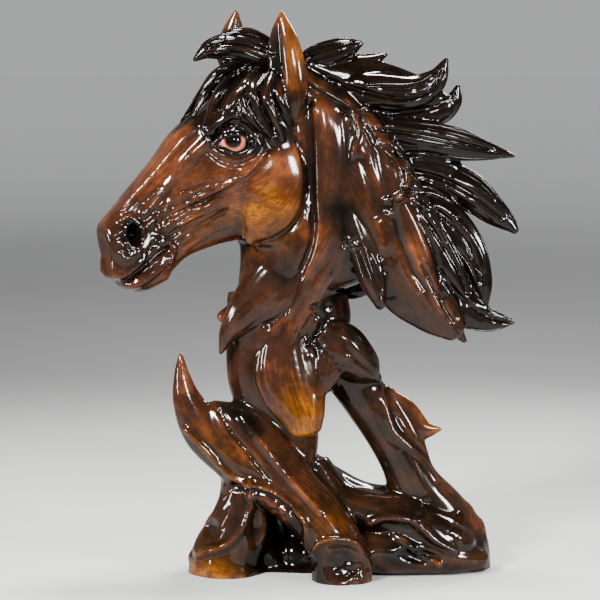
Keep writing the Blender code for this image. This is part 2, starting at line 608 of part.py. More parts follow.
def sculpture_mesh():
    face = [skull()]
    for stations in FACE.values():
        face += [limb(stations), limb(mirrored(stations))]
    core = fused(turned(face) + limbs(NECK) + limbs(ROOTS), 5)
    press(core, FACE_HOLLOWS, head_frame)
    carve(core, FACE_MARKS, head_frame)
    press(core, ROOT_HOLLOWS, body_frame)
    carve(core, NECK_MARKS, body_frame)
    carve(core, ROOT_MARKS, body_frame)
    trim = turned([eyeball(side) for side in (-1, 1)])
    trim += [limb(EARS["near"], NEAR_EAR_MOUTH), limb(EARS["far"], FAR_EAR_MOUTH)]
    trim += limbs(FLAPS) + limbs(MANE) + limbs(WISPS)
    skin = skin_tree(core)
    trim += [limb(laid_on(stations, skin, side)) for stations in STRANDS.values() for side in (-1, 1)]
    trim += [limb(mirrored(stations)) for name, stations in (FLAPS | MANE).items() if name in BOTH_SIDES]
    body = fused([core] + trim, 1)
    carve(body, LID_MARKS, head_frame)
    carve(body, MANE_MARKS, body_frame)
    one_shell(body)
    ratio = MOST_TRIANGLES / len(body.polygons)
    return apply_modifiers(body, ("DECIMATE", {"ratio": ratio}))


def main():
    for obj in list(bpy.data.objects):
        bpy.data.objects.remove(obj)
    sculpture = bpy.data.objects.new("horse_head_sculpture", sculpture_mesh())
    sculpture.data.materials.clear()
    sculpture.data.materials.append(stained_resin("stained_resin"))
    collection_of("horse_head_sculpture").objects.link(sculpture)
    cutter = floor_cutter()
    collection_of("cutters").objects.link(cutter)
    cut = sculpture.modifiers.new("flat_underside", "BOOLEAN")
    cut.operation = "DIFFERENCE"
    cut.solver = "EXACT"
    cut.object = cutter


main()
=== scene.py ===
import contextlib
import itertools
import math

import bmesh
import bpy
import numpy as np
from mathutils import Matrix, Vector
from mathutils.bvhtree import BVHTree
from mathutils.kdtree import KDTree


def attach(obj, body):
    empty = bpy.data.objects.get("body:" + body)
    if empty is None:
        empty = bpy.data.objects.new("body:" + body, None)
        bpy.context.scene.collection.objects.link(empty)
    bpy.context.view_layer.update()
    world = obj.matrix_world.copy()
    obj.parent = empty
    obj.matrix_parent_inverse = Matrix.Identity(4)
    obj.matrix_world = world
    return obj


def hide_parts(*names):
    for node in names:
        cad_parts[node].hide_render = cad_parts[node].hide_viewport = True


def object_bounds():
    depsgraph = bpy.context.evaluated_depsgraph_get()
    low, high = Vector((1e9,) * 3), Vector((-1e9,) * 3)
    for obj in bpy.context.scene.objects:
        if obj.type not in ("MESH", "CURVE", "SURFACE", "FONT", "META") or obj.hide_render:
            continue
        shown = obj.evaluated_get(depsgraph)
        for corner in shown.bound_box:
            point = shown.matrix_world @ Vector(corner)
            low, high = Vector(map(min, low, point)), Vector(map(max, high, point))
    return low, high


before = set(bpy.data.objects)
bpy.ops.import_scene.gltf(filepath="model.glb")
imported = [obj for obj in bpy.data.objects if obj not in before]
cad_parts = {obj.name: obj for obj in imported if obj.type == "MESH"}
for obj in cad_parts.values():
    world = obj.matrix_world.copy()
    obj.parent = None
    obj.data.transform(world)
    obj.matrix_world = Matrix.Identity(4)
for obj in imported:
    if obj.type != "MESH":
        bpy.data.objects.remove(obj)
cad_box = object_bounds()

# One share of the work's height is a millimetre, and the head is turned about an upright axis
SHARE = 0.001
HEAD_TURN = math.radians(20)
HEAD_PIVOT = (-11, 0, 0)
HEAD_MATRIX = np.array([
    [math.cos(HEAD_TURN), -math.sin(HEAD_TURN), 0],
    [math.sin(HEAD_TURN), math.cos(HEAD_TURN), 0],
    [0, 0, 1],
])
HEAD_BACK = HEAD_MATRIX.T.copy()

# Steps of the skin: over the main forms alone, then with the locks and flaps on them
CORE_STEP = 1.3 * SHARE
SKIN_STEP = 0.95 * SHARE

# Skull stations, nose to poll, in the head's own plane of symmetry: top x and z, underside x and z,
# then half widths at the bridge, brow, middle, jaw and underside
SKULL = [
    (-124, 219, -121, 205, 3, 7, 8, 7, 3),
    (-126, 226, -117, 194, 9, 14, 16, 13, 8),
    (-121, 233, -106, 188, 9, 15, 19, 16, 10),
    (-114, 240, -94, 187, 9, 14, 18, 17, 11),
    (-107, 249, -83, 193, 9, 13, 16, 15, 10),
    (-98, 259, -71, 204, 10, 14, 16, 14, 9),
    (-88, 271, -56, 210, 11, 16, 18, 14, 8),
    (-80, 282, -40, 214, 13, 19, 22, 16, 9),
    (-69, 292, -23, 215, 15, 24, 26, 20, 11),
    (-54, 304, -3, 219, 17, 27, 28, 24, 14),
    (-42, 314, 7, 230, 18, 27, 28, 26, 15),
    (-27, 321, 12, 252, 17, 24, 25, 22, 14),
    (-12, 321, 15, 278, 12, 17, 17, 14, 9),
]
SKULL_LEVELS = (0.04, 0.22, 0.5, 0.76, 0.95)

# Forms of the face on its near half, in the head's own plane: x, y, z, half width, half thickness
FACE = {
    "cheek": [
        (-24, -18, 278, 12, 8), (-17, -21, 262, 23, 9), (-16, -21, 242, 26, 9), (-24, -18, 224, 17, 8),
        (-29, -14, 217, 7, 5),
    ],
    "brow": [
        (-62, -19, 285, 5, 6), (-52, -24, 293, 6, 6), (-41, -25, 292, 6, 6), (-32, -22, 284, 5, 6),
    ],
    "chin": [(-112, -2, 195, 7, 10), (-101, -3, 192, 8, 12), (-88, -3, 196, 7, 11)],
    "upper_lip": [(-121, -5, 200, 8, 10), (-107, -7, 202, 8, 11), (-94, -8, 207, 5, 9)],
}

# Limbs: x, y, z of the middle line, half width across the broad side, half thickness
NECK = {
    "neck": [
        (-10, -2, 317, 17, 17), (7, 0, 290, 32, 24), (16, 0, 262, 44, 26), (13, 0, 238, 50, 27),
        (-1, 0, 213, 48, 27), (-11, 0, 190, 33, 23), (-13, 0, 170, 33, 21), (-16, 0, 146, 30, 19),
    ],
    "crest": [
        (-4, 0, 322, 12, 13), (21, 2, 314, 19, 12), (50, 2, 304, 22, 10), (78, 0, 299, 16, 7),
        (89, 0, 298, 8, 4),
    ],
    "mane_root": [
        (24, 0, 290, 24, 14), (56, 0, 271, 26, 12), (78, 0, 254, 24, 9), (94, 0, 240, 14, 5),
    ],
    "near_cape": [
        (21, -12, 291, 20, 10), (41, -17, 253, 26, 11), (57, -19, 219, 28, 9), (68, -18, 190, 26, 8),
        (82, -17, 170, 17, 6.5), (94, -16, 157, 8, 4.5),
    ],
    "far_cape": [
        (24, 12, 290, 20, 10), (42, 17, 251, 26, 11), (58, 20, 216, 26, 9), (68, 20, 188, 22, 8),
        (81, 19, 168, 14, 6), (93, 18, 157, 6, 4),
    ],
    "far_skirt": [
        (12, 17, 245, 24, 8), (21, 20, 216, 22, 8), (28, 19, 194, 17, 6), (31, 17, 178, 10, 4),
    ],
}
ROOTS = {
    "stem": [
        (-17, 0, 176, 34, 20), (-21, 2, 148, 31, 19), (-23, 2, 122, 27, 18), (-14, 0, 103, 22, 18),
        (-8, -4, 87, 16, 14), (-6, -8, 72, 12, 11),
    ],
    "waist": [(5, 0, 176, 18, 15), (9, 0, 152, 17, 14), (14, 0, 130, 14, 13)],
    "diagonal": [
        (-66, -4, 105, 9, 8), (-51, -8, 92, 22, 13), (-34, -11, 77, 26, 16), (-13, -16, 57, 20, 17),
        (6, -22, 38, 18, 18), (19, -28, 20, 18, 18), (22, -30, 6, 19, 18), (22, -30, -12, 19, 18),
    ],
    "horn": [
        (-81, -4, 142, 1.6, 1.6), (-80, -5, 127, 5.5, 5), (-76, -6, 110, 10, 8), (-65, -8, 91, 14, 11),
        (-44, -10, 74, 16, 13),
    ],
    "left_leg": [
        (-43, -4, 67, 12, 14), (-41, -5, 47, 16, 17), (-45, -5, 27, 20, 21), (-51, -2, 9, 24, 26),
        (-52, -2, -14, 26, 28),
    ],
    "left_lump": [(-48, -8, 2, 7, 9), (-61, -8, 6, 8, 9), (-71, -4, 9, 6, 7)],
    "back_root": [
        (-7, 4, 70, 12, 14), (12, 4, 56, 13, 15), (34, 6, 42, 15, 17), (60, 10, 32, 20, 19),
        (84, 12, 18, 24, 20),
    ],
    "front_mass": [
        (7, 0, 71, 7, 12), (21, -4, 50, 10, 15), (39, -8, 41, 13, 16), (60, -8, 35, 15, 17),
        (80, -8, 27, 14, 17), (97, -4, 20, 12, 16),
    ],
    "lower_front": [
        (28, -14, 15, 10, 13), (48, -15, 15, 14, 15), (71, -13, 14, 14, 15), (93, -8, 11, 12, 15),
        (109, -2, 9, 8, 13),
    ],
    "back_wall": [
        (-66, 16, 16, 7, 8), (-54, 19, 21, 17, 13), (-36, 21, 26, 26, 13), (-14, 20, 28, 30, 13),
        (12, 14, 30, 30, 14), (36, 16, 24, 22, 14), (64, 18, 18, 20, 14),
    ],
    "strut": [
        (27, 2, 128, 16, 13), (40, 2, 108, 15, 13), (52, 2, 90, 15, 13), (62, 2, 71, 15, 13),
        (71, 4, 52, 18, 15), (84, 9, 34, 21, 19), (98, 12, 16, 20, 22), (100, 12, -12, 20, 22),
    ],
    "strut_edge": [
        (50, 3, 118, 4, 4), (62, 3, 99, 9, 5), (70, 3, 80, 7, 6), (77, 4, 60, 7, 7), (88, 8, 42, 8, 9),
    ],
    "thorn": [(47, 4, 119, 3, 4), (61, 4, 104, 9, 5), (74, 2, 92, 7, 4), (86, 0, 92, 1.8, 2)],
    "right_foot": [
        (62, 8, 43, 12, 16), (84, 10, 34, 17, 20), (97, 12, 27, 17, 21), (104, 12, 23, 13, 17),
    ],
    "rear_foot": [
        (0, 14, 52, 14, 12), (4, 24, 30, 17, 16), (8, 28, 8, 20, 18), (8, 28, -12, 20, 18),
    ],
    "wall_foot": [(-46, 8, 4, 8, 10), (-28, 7, 8, 11, 12), (-8, 6, 8, 11, 12), (6, 2, 6, 8, 8)],
    "plinth": [
        (-70, 10, -2, 3, 10), (-37, 12, -2, 6, 20), (9, 12, -1, 8, 24), (61, 12, -1, 8, 20),
        (102, 12, -2, 6, 20), (109, 10, -2, 4, 14),
    ],
}
FLAPS = {
    "tongue": [
        (-10, -12, 164, 12, 6), (-12, -14, 148, 18, 7), (-11, -16, 132, 22, 8),
        (-7, -18, 117, 20, 8.5), (-3, -20, 105, 15, 8), (-1, -21, 96, 11, 6.5),
    ],
    "second_tongue": [
        (12, -12, 152, 8, 6), (15, -15, 141, 10, 7), (13, -17, 131, 9, 6.5), (10, -18, 122, 6, 4.5),
    ],
    "collar": [
        (10, -8, 156, 10, 12), (20, -9, 148, 16, 14), (29, -7, 139, 15, 14), (38, -5, 131, 11, 11),
        (44, -3, 126, 4, 6),
    ],
    "knob": [(17, 2, 178, 9, 9), (19, 2, 165, 9, 9), (18, 2, 153, 8, 8)],
    "throat_flame": [
        (-4, -12, 204, 18, 9), (-22, -14, 185, 19, 9), (-38, -14, 170, 13, 8), (-49, -12, 157, 7, 6),
        (-55, -10, 143, 1.5, 2.2),
    ],
    "throat_lobe": [(-3, -16, 195, 13, 7), (-13, -18, 180, 10, 6), (-22, -17, 168, 3, 3)],
    "throat_knob": [(-43, -2, 171, 6, 8), (-54, -2, 165, 4, 5)],
    "waist_fold": [
        (24, -14, 227, 12, 8), (14, -17, 209, 11, 8), (4, -17, 190, 10, 8), (-4, -16, 172, 9, 7),
        (-11, -16, 155, 7, 6), (-13, -18, 139, 4, 4),
    ],
}
MANE = {
    "tuft_front": [
        (-4, -2, 325, 7, 8), (9, -3, 330, 8.5, 8), (24, -4, 335, 7, 7), (34, -5, 339, 2, 2.5),
    ],
    "tuft_back": [
        (3, 4, 317, 10, 8), (24, 3, 323, 9, 7), (39, 2, 327, 5, 5), (50, 2, 332, 1.5, 1.8),
    ],
    "lock_up": [
        (15, -2, 307, 12, 10), (41, -4, 308, 13, 9), (66, -6, 308, 11, 8), (81, -7, 316, 7.5, 5.5),
        (88, -7, 329, 1.5, 2),
    ],
    "lock_hook": [
        (54, 5, 295, 12, 8), (80, 4, 296, 10, 7), (92, 3, 302, 6, 5), (96, 2, 312, 1.5, 2),
    ],
    "lock_long": [
        (39, -4, 283, 13, 9), (65, -5, 279, 13, 9), (91, -6, 276, 10.5, 7), (111, -6, 272, 6.5, 5),
        (131, -6, 268, 1.3, 1.8),
    ],
    "lock_low": [
        (46, 2, 262, 14, 10), (75, 2, 256, 13, 9), (101, 0, 246, 12.5, 8), (118, -2, 233, 9, 6),
        (128, -3, 225, 5.5, 4.5), (132, -4, 221, 3, 3),
    ],
    "lock_fall": [
        (59, -4, 245, 14, 9), (82, -8, 231, 14, 8), (101, -10, 211, 11.5, 7), (111, -10, 189, 7, 5),
        (114, -10, 173, 1.5, 2),
    ],
    "lock_web": [
        (70, -6, 226, 14, 5), (86, -9, 202, 13, 5), (97, -10, 182, 10, 4), (104, -10, 172, 4, 3),
    ],
    "lock_inner": [
        (62, -13, 237, 9, 6), (78, -17, 215, 10, 6), (92, -17, 193, 8, 5), (102, -15, 176, 2.5, 2.5),
    ],
    "lock_flip": [
        (77, -8, 201, 13, 8), (92, -10, 177, 13, 7), (113, -10, 164, 7.5, 5), (131, -9, 162, 1.5, 1.8),
    ],
    "lock_under": [(75, -13, 186, 13, 7), (86, -15, 169, 10, 6), (100, -14, 151, 1.8, 2)],
    "fin": [
        (27, -18, 238, 12, 7), (36, -23, 210, 10, 6), (42, -24, 188, 7.5, 5.5), (46, -23, 175, 3.6, 3.8),
    ],
}
# The forelock's two raised wisps over the poll
WISPS = {
    "big": [
        (-18, -6, 326, 7, 6), (-32, -13, 334, 8.5, 7), (-47, -19, 337, 8, 6.5), (-61, -24, 335, 5.5, 5),
        (-70, -27, 329, 1.6, 1.8),
    ],
    "top": [
        (-18, -2, 332, 6, 5), (-32, -9, 342, 5, 4.5), (-43, -15, 345, 3.8, 3.5),
        (-54, -19, 344, 1.2, 1.4),
    ],
}
# Strands that lie on the skin: x, height over the skin, z, half width, half thickness
STRANDS = {
    "first": [
        (-29, 2, 327, 4, 4), (-43, 3, 321, 3.6, 4), (-56, 3, 308, 3, 3.5), (-64, 1, 287, 1, 1.4),
    ],
    "second": [
        (-31, 2, 328, 4, 4), (-49, 3, 324, 3.6, 4), (-63, 3, 310, 3, 3.5), (-72, 1, 293, 1, 1.4),
    ],
    "third": [
        (-41, 2, 327, 4, 4), (-58, 3, 319, 3.6, 4), (-69, 3, 303, 3, 3.5), (-79, 1, 290, 1, 1.4),
    ],
    "fourth": [
        (-27, 2, 323, 4, 4), (-40, 3, 311, 3.6, 3.5), (-49, 3, 299, 3, 3), (-54, 1, 285, 1, 1.4),
    ],
    "fifth": [
        (-26, 2, 323, 3.5, 4), (-34, 3, 313, 3, 3.5), (-40, 3, 303, 2.5, 3), (-43, 1, 293, 1, 1.4),
    ],
    "sixth": [
        (-24, 2, 322, 4, 4), (-34, 4, 311, 3.5, 3.5), (-32, 3, 299, 3, 3), (-23, 1, 281, 1, 1.4),
    ],
    "seventh": [
        (-22, 2, 319, 4, 4), (-26, 3, 306, 3.5, 3.5), (-21, 3, 294, 2.8, 3), (-15, 1, 280, 1, 1.4),
    ],
    "eighth": [
        (-27, 3, 324, 3, 3.5), (-38, 4, 315, 3, 3), (-42, 4, 305, 2.6, 3), (-36, 3, 294, 2.2, 2.5),
        (-29, 1, 285, 1, 1.4),
    ],
    "ninth": [
        (-33, 2, 326, 4, 4), (-49, 3, 315, 3.5, 3.5), (-59, 3, 300, 3, 3), (-62, 1, 283, 1, 1.4),
    ],
    "tenth": [(-19, 2, 316, 3.5, 3.5), (-17, 3, 304, 3, 3), (-10, 1, 289, 1, 1.4)],
}
# The ears' sixth number is how deep the shell is hollowed
EARS = {
    "near": [
        (-9, -13, 284, 6, 5, 0), (-11, -21, 299, 9.5, 8, 0.1), (-12, -23, 313, 12.5, 9, 0.6),
        (-15, -23, 329, 13, 8.5, 1.15), (-16, -22, 344, 9.5, 6, 1.0), (-16, -20, 358, 1.5, 1.6, 0),
    ],
    "far": [
        (-35, 14, 304, 9, 8, 0), (-41, 12, 320, 11, 9, 0.6), (-47, 8, 334, 12.5, 8, 1.15),
        (-47, 6, 346, 8, 6, 1.0), (-45, 4, 359, 1.5, 1.6, 0),
    ],
}
EAR_MOUTHS = {"near": math.radians(-44), "far": math.radians(70)}
EAR_MOUTH_WIDTH = 0.85
# Forms that the far side repeats
BOTH_SIDES = ("tongue", "throat_flame", "waist_fold", "fin", "lock_inner", "lock_under", "lock_flip")

# An eyeball in the head's own plane: x, y, z and radius
EYEBALL = (-47, 23.5, 279, 9)
# Where the pupil looks, with y towards the eye's own side
GAZE = (-0.20, 1, 0.14)

# Hollows: x, z, half length, half width, tilt in degrees, depth
FACE_HOLLOWS = {
    "eye_socket": (-47, 279, 15, 10, 0, 7),
    "nostril": (-107.4, 220.7, 5.2, 9, 15, 10),
    "nostril_corner": (-112.6, 211.5, 4, 5, 25, 3),
    "under_cheek_bone": (-58, 246, 18, 8, 35, 2.5),
    "nose_side": (-86, 250, 22, 7, 52, 2),
}
ROOT_HOLLOWS = {
    "right_cave": (72, 14, 17, 6, -10, 6),
    "left_cave": (-62, 30, 8, 7, 40, 5),
    "leg_fold": (-33, 34, 7, 16, 0, 5),
    "stump_face": (22, 12, 14, 12, 0, 4),
    "collar_dip": (20, 138, 6, 9, 20, 3),
}

# Carved lines: half width, height (a groove is below zero) and x, z points
LID_MARKS = {
    "upper_lid": (2.6, 3.4, [(-58, 277), (-54, 283), (-47, 287), (-40, 285), (-35, 278)]),
    "lower_lid": (2.4, 2.4, [(-58, 277), (-52, 273), (-46, 271), (-40, 273), (-35, 278)]),
}
FACE_MARKS = {
    "cheek_rear": (3.5, -2.6, [(-3, 278), (1, 262), (1, 246), (-4, 230), (-14, 219), (-28, 213)]),
    "brow": (4.5, 2.5, [(-61, 285), (-54, 292), (-45, 297), (-35, 294), (-27, 286)]),
    "lid_fold": (1.8, -1.6, [(-58, 286), (-51, 291), (-43, 292), (-36, 288), (-29, 280)]),
    "bag_fold": (2.2, -1.8, [(-61, 272), (-53, 266), (-43, 264), (-33, 268), (-27, 275)]),
    "cheek_edge": (3.0, 2.4, [(-26, 273), (-34, 263), (-45, 255), (-55, 250), (-69, 244)]),
    "tear_ridge": (4.0, 2.4, [(-62, 279), (-74, 267), (-83, 255), (-93, 243), (-101, 234)]),
    "upper_vein": (3.0, 1.2, [(-53, 249), (-68, 243), (-82, 238), (-92, 232), (-102, 225)]),
    "lower_vein": (3.0, 1.2, [(-56, 241), (-69, 234), (-83, 227), (-94, 218)]),
    "vein_gap": (2.6, -1.2, [(-57, 245), (-72, 238), (-85, 232), (-97, 222)]),
    "jaw_line": (2.4, -1.4, [(-48, 235), (-60, 229), (-72, 222), (-83, 215)]),
    "nostril_rim": (2.3, 1.6, [
        (-115.6, 229.7), (-112.3, 232.1), (-108.5, 231.7), (-103.4, 226.9), (-102.4, 221.3),
        (-105.0, 212.7), (-109.4, 208.1), (-114.4, 207.1), (-117.7, 210.3),
    ]),
    "nostril_fold": (2.8, -2.0, [(-92, 236), (-92, 223), (-97, 212), (-103, 202)]),
    "mouth": (2.2, -4.0, [
        (-124, 193), (-115, 191), (-106, 197), (-98, 204), (-92, 209), (-86, 212),
    ]),
    "mouth_corner": (2.8, 2.4, [(-93, 216), (-86, 217), (-82, 212), (-84, 205)]),
    "lower_lip": (3.4, 2.0, [(-108, 189), (-99, 194), (-91, 200), (-86, 206)]),
    "bridge": (3.0, 1.6, [(-66, 290), (-79, 276), (-92, 260), (-106, 245), (-114, 236)]),
    "temple": (5.0, -3.0, [(-20, 288), (-25, 281), (-22, 274)]),
}
NECK_MARKS = {
    "throat_valley": (5.0, -3.2, [
        (1, 301), (2, 272), (3, 241), (4, 217), (-3, 196), (-13, 176), (-25, 162),
    ]),
    "first_fold": (8.0, 1.8, [(9, 299), (11, 266), (12, 241), (9, 213), (-1, 188), (-8, 162)]),
    "second_valley": (6.0, -1.4, [(22, 296), (24, 263), (22, 235), (26, 219)]),
    "second_fold": (8.0, 1.6, [(31, 288), (37, 257), (43, 234), (48, 213)]),
    "third_valley": (5.5, -1.4, [(41, 284), (48, 251), (50, 226), (53, 205)]),
    "panel": (9.0, 2.0, [(56, 260), (63, 232), (73, 202)]),
    "panel_edge": (3.0, -2.2, [(60, 247), (73, 224), (82, 202), (86, 178)]),
    "crest_cord": (2.0, 1.8, [(-1, 317), (12, 308), (27, 300), (37, 291), (46, 276)]),
    "crest_valley": (3.0, -2.0, [(2, 323), (18, 314), (34, 305), (46, 294), (55, 280)]),
    "loop_cord": (1.8, 1.2, [(24, 304), (31, 290), (32, 277), (28, 267)]),
    "back_cord": (2.0, 1.6, [(45, 279), (56, 275), (63, 265), (64, 253), (57, 242), (54, 232)]),
}
ROOT_MARKS = {
    "slab_rim": (2.8, 3.0, [
        (-77, 94), (-63, 80), (-49, 66), (-37, 61), (-21, 56), (-11, 49), (-1, 38), (0, 26), (1, 10),
    ]),
    "under_rim": (4.0, -3.5, [(-46, 58), (-27, 55), (-11, 45)]),
    "slab_crack": (2.0, -2.8, [(-56, 106), (-48, 93), (-36, 79), (-24, 64)]),
    "slab_ridge": (3.0, 2.0, [(-42, 103), (-30, 88), (-12, 66), (8, 45)]),
    "stump_rim": (2.2, 2.4, [
        (4, 19), (6, 24), (12, 28), (25, 28), (33, 23), (38, 14), (41, 3),
    ]),
    "cave_brow": (4.0, 4.0, [(40, 36), (51, 39), (68, 36), (81, 25), (93, 17)]),
    "cave_root": (3.0, 3.0, [(56, 27), (64, 22), (72, 14), (84, 9)]),
    "leg_ridge": (4.0, 3.0, [(-36, 62), (-36, 47), (-42, 32), (-52, 21), (-70, 14)]),
    "leg_back_ridge": (3.0, 2.0, [(-52, 58), (-58, 42), (-68, 30)]),
    "strut_valley": (2.4, -2.0, [(51, 118), (58, 98), (66, 87), (77, 75), (87, 60)]),
    "strut_ridge": (3.0, 1.8, [(47, 118), (54, 94), (61, 86), (72, 75), (83, 59)]),
    "tongue_seam": (2.0, -2.6, [(8, 150), (9, 142), (12, 128), (13, 112)]),
    "tongue_edge": (2.0, 1.6, [(8, 110), (12, 100), (16, 92)]),
    "wall_rib": (6.0, 3.0, [(-31, 44), (-29, 28), (-24, 8)]),
    "wall_hollow": (5.0, -3.0, [(-20, 38), (-16, 20), (-14, 6)]),
}
MANE_MARKS = {
    "up_parting": (2.4, -2.4, [(14, 316), (36, 309), (60, 304), (78, 309), (85, 320)]),
    "up_lower": (2.4, -2.4, [(34, 298), (58, 295), (80, 299), (92, 306)]),
    "long_parting": (2.4, -2.4, [(46, 285), (70, 282), (94, 277), (116, 272)]),
    "long_lower": (2.4, -2.4, [(56, 270), (76, 269), (100, 264)]),
    "low_parting": (2.4, -2.4, [(62, 259), (84, 254), (106, 243), (124, 229)]),
    "low_lower": (2.4, -2.4, [(62, 247), (80, 245), (98, 236), (112, 224)]),
    "fall_parting": (2.4, -2.4, [(76, 238), (92, 226), (104, 208), (110, 188)]),
    "inner_parting": (2.4, -2.4, [(66, 240), (80, 222), (94, 200), (102, 182)]),
    "flip_parting": (2.4, -2.4, [(84, 196), (98, 178), (114, 167), (128, 163)]),
    "under_parting": (2.4, -2.4, [(72, 200), (82, 182), (92, 165)]),
    "wisp_parting": (2.2, -2.4, [(-22, 333), (-38, 338.5), (-52, 339.5), (-61, 337)]),
}
# Finer carved lines that the casting shows over its main forms
NECK_FINE = {
    "cape_fold": (3.8, 1.2, [(57, 241), (63, 219), (71, 202), (78, 188), (84, 171)]),
    "cape_fold_valley": (2.6, -1.1, [(53, 236), (58, 217), (66, 199), (74, 185)]),
    "cape_front_fold": (3.2, 1.4, [(49, 232), (54, 213), (61, 196), (70, 183)]),
    "cape_edge": (2.2, 2.2, [(24, 210), (31, 215), (38, 210), (43, 203), (46, 191)]),
    "neck_panel": (5.0, -2.0, [(34, 266), (41, 248), (44, 232)]),
    "inner_lock": (3.2, 2.0, [(79, 237), (93, 227), (103, 209), (110, 190), (112, 177)]),
    "mane_fringe": (2.2, 2.2, [(49, 241), (58, 243), (70, 238), (84, 233)]),
    "sling": (1.8, 1.6, [(20, 304), (28, 296), (32, 285), (28, 269)]),
    "ring_cord": (1.6, 1.8, [
        (46, 277), (54, 275), (60, 266), (63, 255), (61, 247), (56, 241), (53, 232),
    ]),
    "ring_cord_inner": (1.5, 1.4, [(44, 275), (52, 269), (58, 260), (59, 250), (56, 241)]),
    "throat_cord": (2.2, 1.6, [(5, 298), (6, 270), (7, 243), (7, 217), (-1, 192), (-11, 168)]),
}
# The curled inside of the nostril, and the edge of the lip
FACE_FINE = {
    "nostril_wing": (2.0, 1.8, [(-120.5, 220.8), (-115, 224.1), (-109.8, 226.2)]),
    "nostril_curl": (1.9, 1.6, [(-117, 217), (-115, 212), (-111, 210), (-108, 213)]),
    "lip_edge": (2.0, 1.6, [(-123, 197), (-115, 196), (-107, 202), (-99, 209), (-91, 214)]),
}
# Face lines that fine strokes keep to
STROKED = ("cheek_edge", "tear_ridge", "upper_vein", "lower_vein", "jaw_line")
# Guide lines for the loose skin beside the nose
NOSE_WRINKLES = {
    "upper": (0, 0, [(-52, 249), (-64, 246), (-78, 240), (-90, 234)]),
    "middle": (0, 0, [(-56, 243), (-69, 238), (-82, 231), (-93, 224)]),
    "lower": (0, 0, [(-58, 236), (-70, 231), (-82, 224), (-92, 215)]),
}
# Where the casting is lumpy, as burl wood is: x, z and radius
BURLS = [
    (-1, 159, 8), (8, 169, 7), (28, 212, 7), (45, 200, 7), (24, 137, 8), (5, 146, 6), (49, 178, 6),
    (-22, 43, 9), (31, 2, 9), (24, 12, 9), (-60, 60, 8), (70, 40, 10), (96, 30, 9),
]

# Where joins are worked smooth: x, z, half length, half width
SOFT_JOINS = [(-7, 290, 12, 11), (36, 116, 16, 10), (-22, 12, 24, 16)]

# The face's skin is finer: least and greatest x, least and greatest z; ovals where it is evened out
FINE_FACE = (-135, -22, 182, 302)
SOFT_FACE = [(-78, 242, 90, 90)]
SOFT_MUZZLE = [(-110, 213, 32, 27), (-46, 291, 17, 12)]

# Stain of each form, from black at 0 to rubbed amber at 1; a form not named here takes its group's.
# The back wall and its foot are dark as painted shade of the recess between the left leg and the stump
FORM_STAIN_AND_SHADE = {
    "face": 0.44, "neck": 0.33, "crest": 0.06, "mane_root": 0.05, "near_cape": 0.34,
    "far_cape": 0.12, "far_skirt": 0.04, "fin": 0.2, "stem": 0.3, "waist": 0.12, "diagonal": 0.35,
    "horn": 0.36, "left_leg": 0.34, "left_lump": 0.36, "lower_front": 0.3, "front_mass": 0.22,
    # back_wall and wall_foot are painted shade: dark because they stand in the recess between the left leg
    # and the stump
    "back_root": 0.24, "back_wall": 0.14, "wall_foot": 0.1, "strut": 0.25, "strut_edge": 0.36,
    "thorn": 0.4, "right_foot": 0.36, "rear_foot": 0.24, "plinth": 0.4, "tongue": 0.38,
    "second_tongue": 0.3, "collar": 0.22, "knob": 0.3, "throat_flame": 0.36, "throat_lobe": 0.34,
    "throat_knob": 0.4, "waist_fold": 0.42, "near": 0.42, "far": 0.36, "big": 0.08, "top": 0.1,
}
MANE_STAIN = 0.04
STRAND_STAIN = 0.12
# Rubbed and dark spots: x, z, half length, half width, tilt in degrees, change of stain or shade.
# The dark spots marked below are painted shade in recesses, hollows and holes, not stain
STAIN_AND_SHADE_SPOTS = [
    (-30, 236, 24, 22, 0, 0.10), (-20, 262, 22, 18, 0, 0.18), (-9, 326, 7, 20, 0, 0.10),
    # (-8, 302) is painted shade in the fold at the ear's base; (-14, 8) is painted shade in the recess
    # between the left leg and the stump
    (-8, 302, 14, 10, 0, -0.14), (20, 10, 22, 18, 0, -0.18), (-14, 8, 28, 20, 0, -0.5),
    (-64, 2, 32, 9, 0, 0.14), (-4, 106, 14, 30, 0, 0.14), (-8, 148, 24, 16, 0, -0.14),
    # (-42, 102) is painted shade in the dark concave on the slab's upper left
    (-54, 88, 28, 10, -40, 0.07), (-36, 76, 26, 8, -35, 0.05), (-42, 102, 20, 8, -35, -0.34),
    (-52, 8, 18, 10, 0, 0.08), (68, 208, 11, 34, -20, 0.10), (-77, 127, 6, 14, 0, 0.20),
    (78, 99, 9, 6, 0, 0.15), (15, 37, 12, 8, -30, 0.10), (-4, 57, 14, 8, -35, 0.12),
    (-64, 235, 14, 8, 30, 0.10), (-89, 266, 30, 12, 52, 0.12), (108, 30, 12, 12, 0, 0.12),
    # (64, 16) is painted shade in the right cave; (-10, 22) is painted shade deeper in the recess between
    # the left leg and the stump
    (64, 16, 18, 9, 0, -0.45), (-10, 22, 12, 18, 0, -0.35), (60, 150, 18, 22, 0, -0.25),
    # (-20, 330) is painted shade in the near ear's hollow
    (36, 162, 14, 18, 0, -0.20), (-20, 330, 7, 20, 0, -0.5), (-16, 206, 24, 20, 0, -0.1),
    # (-108, 222) is painted shade in the nostril's hole
    (-102, 218, 26, 24, 0, -0.22), (-108, 222, 8, 11, 0, -0.5), (20, 246, 20, 40, 0, -0.08),
    # (2, 262) is painted shade along the valley behind the cheek
    (2, 262, 8, 50, 0, -0.20), (-60, 240, 14, 20, 0, -0.05),
]
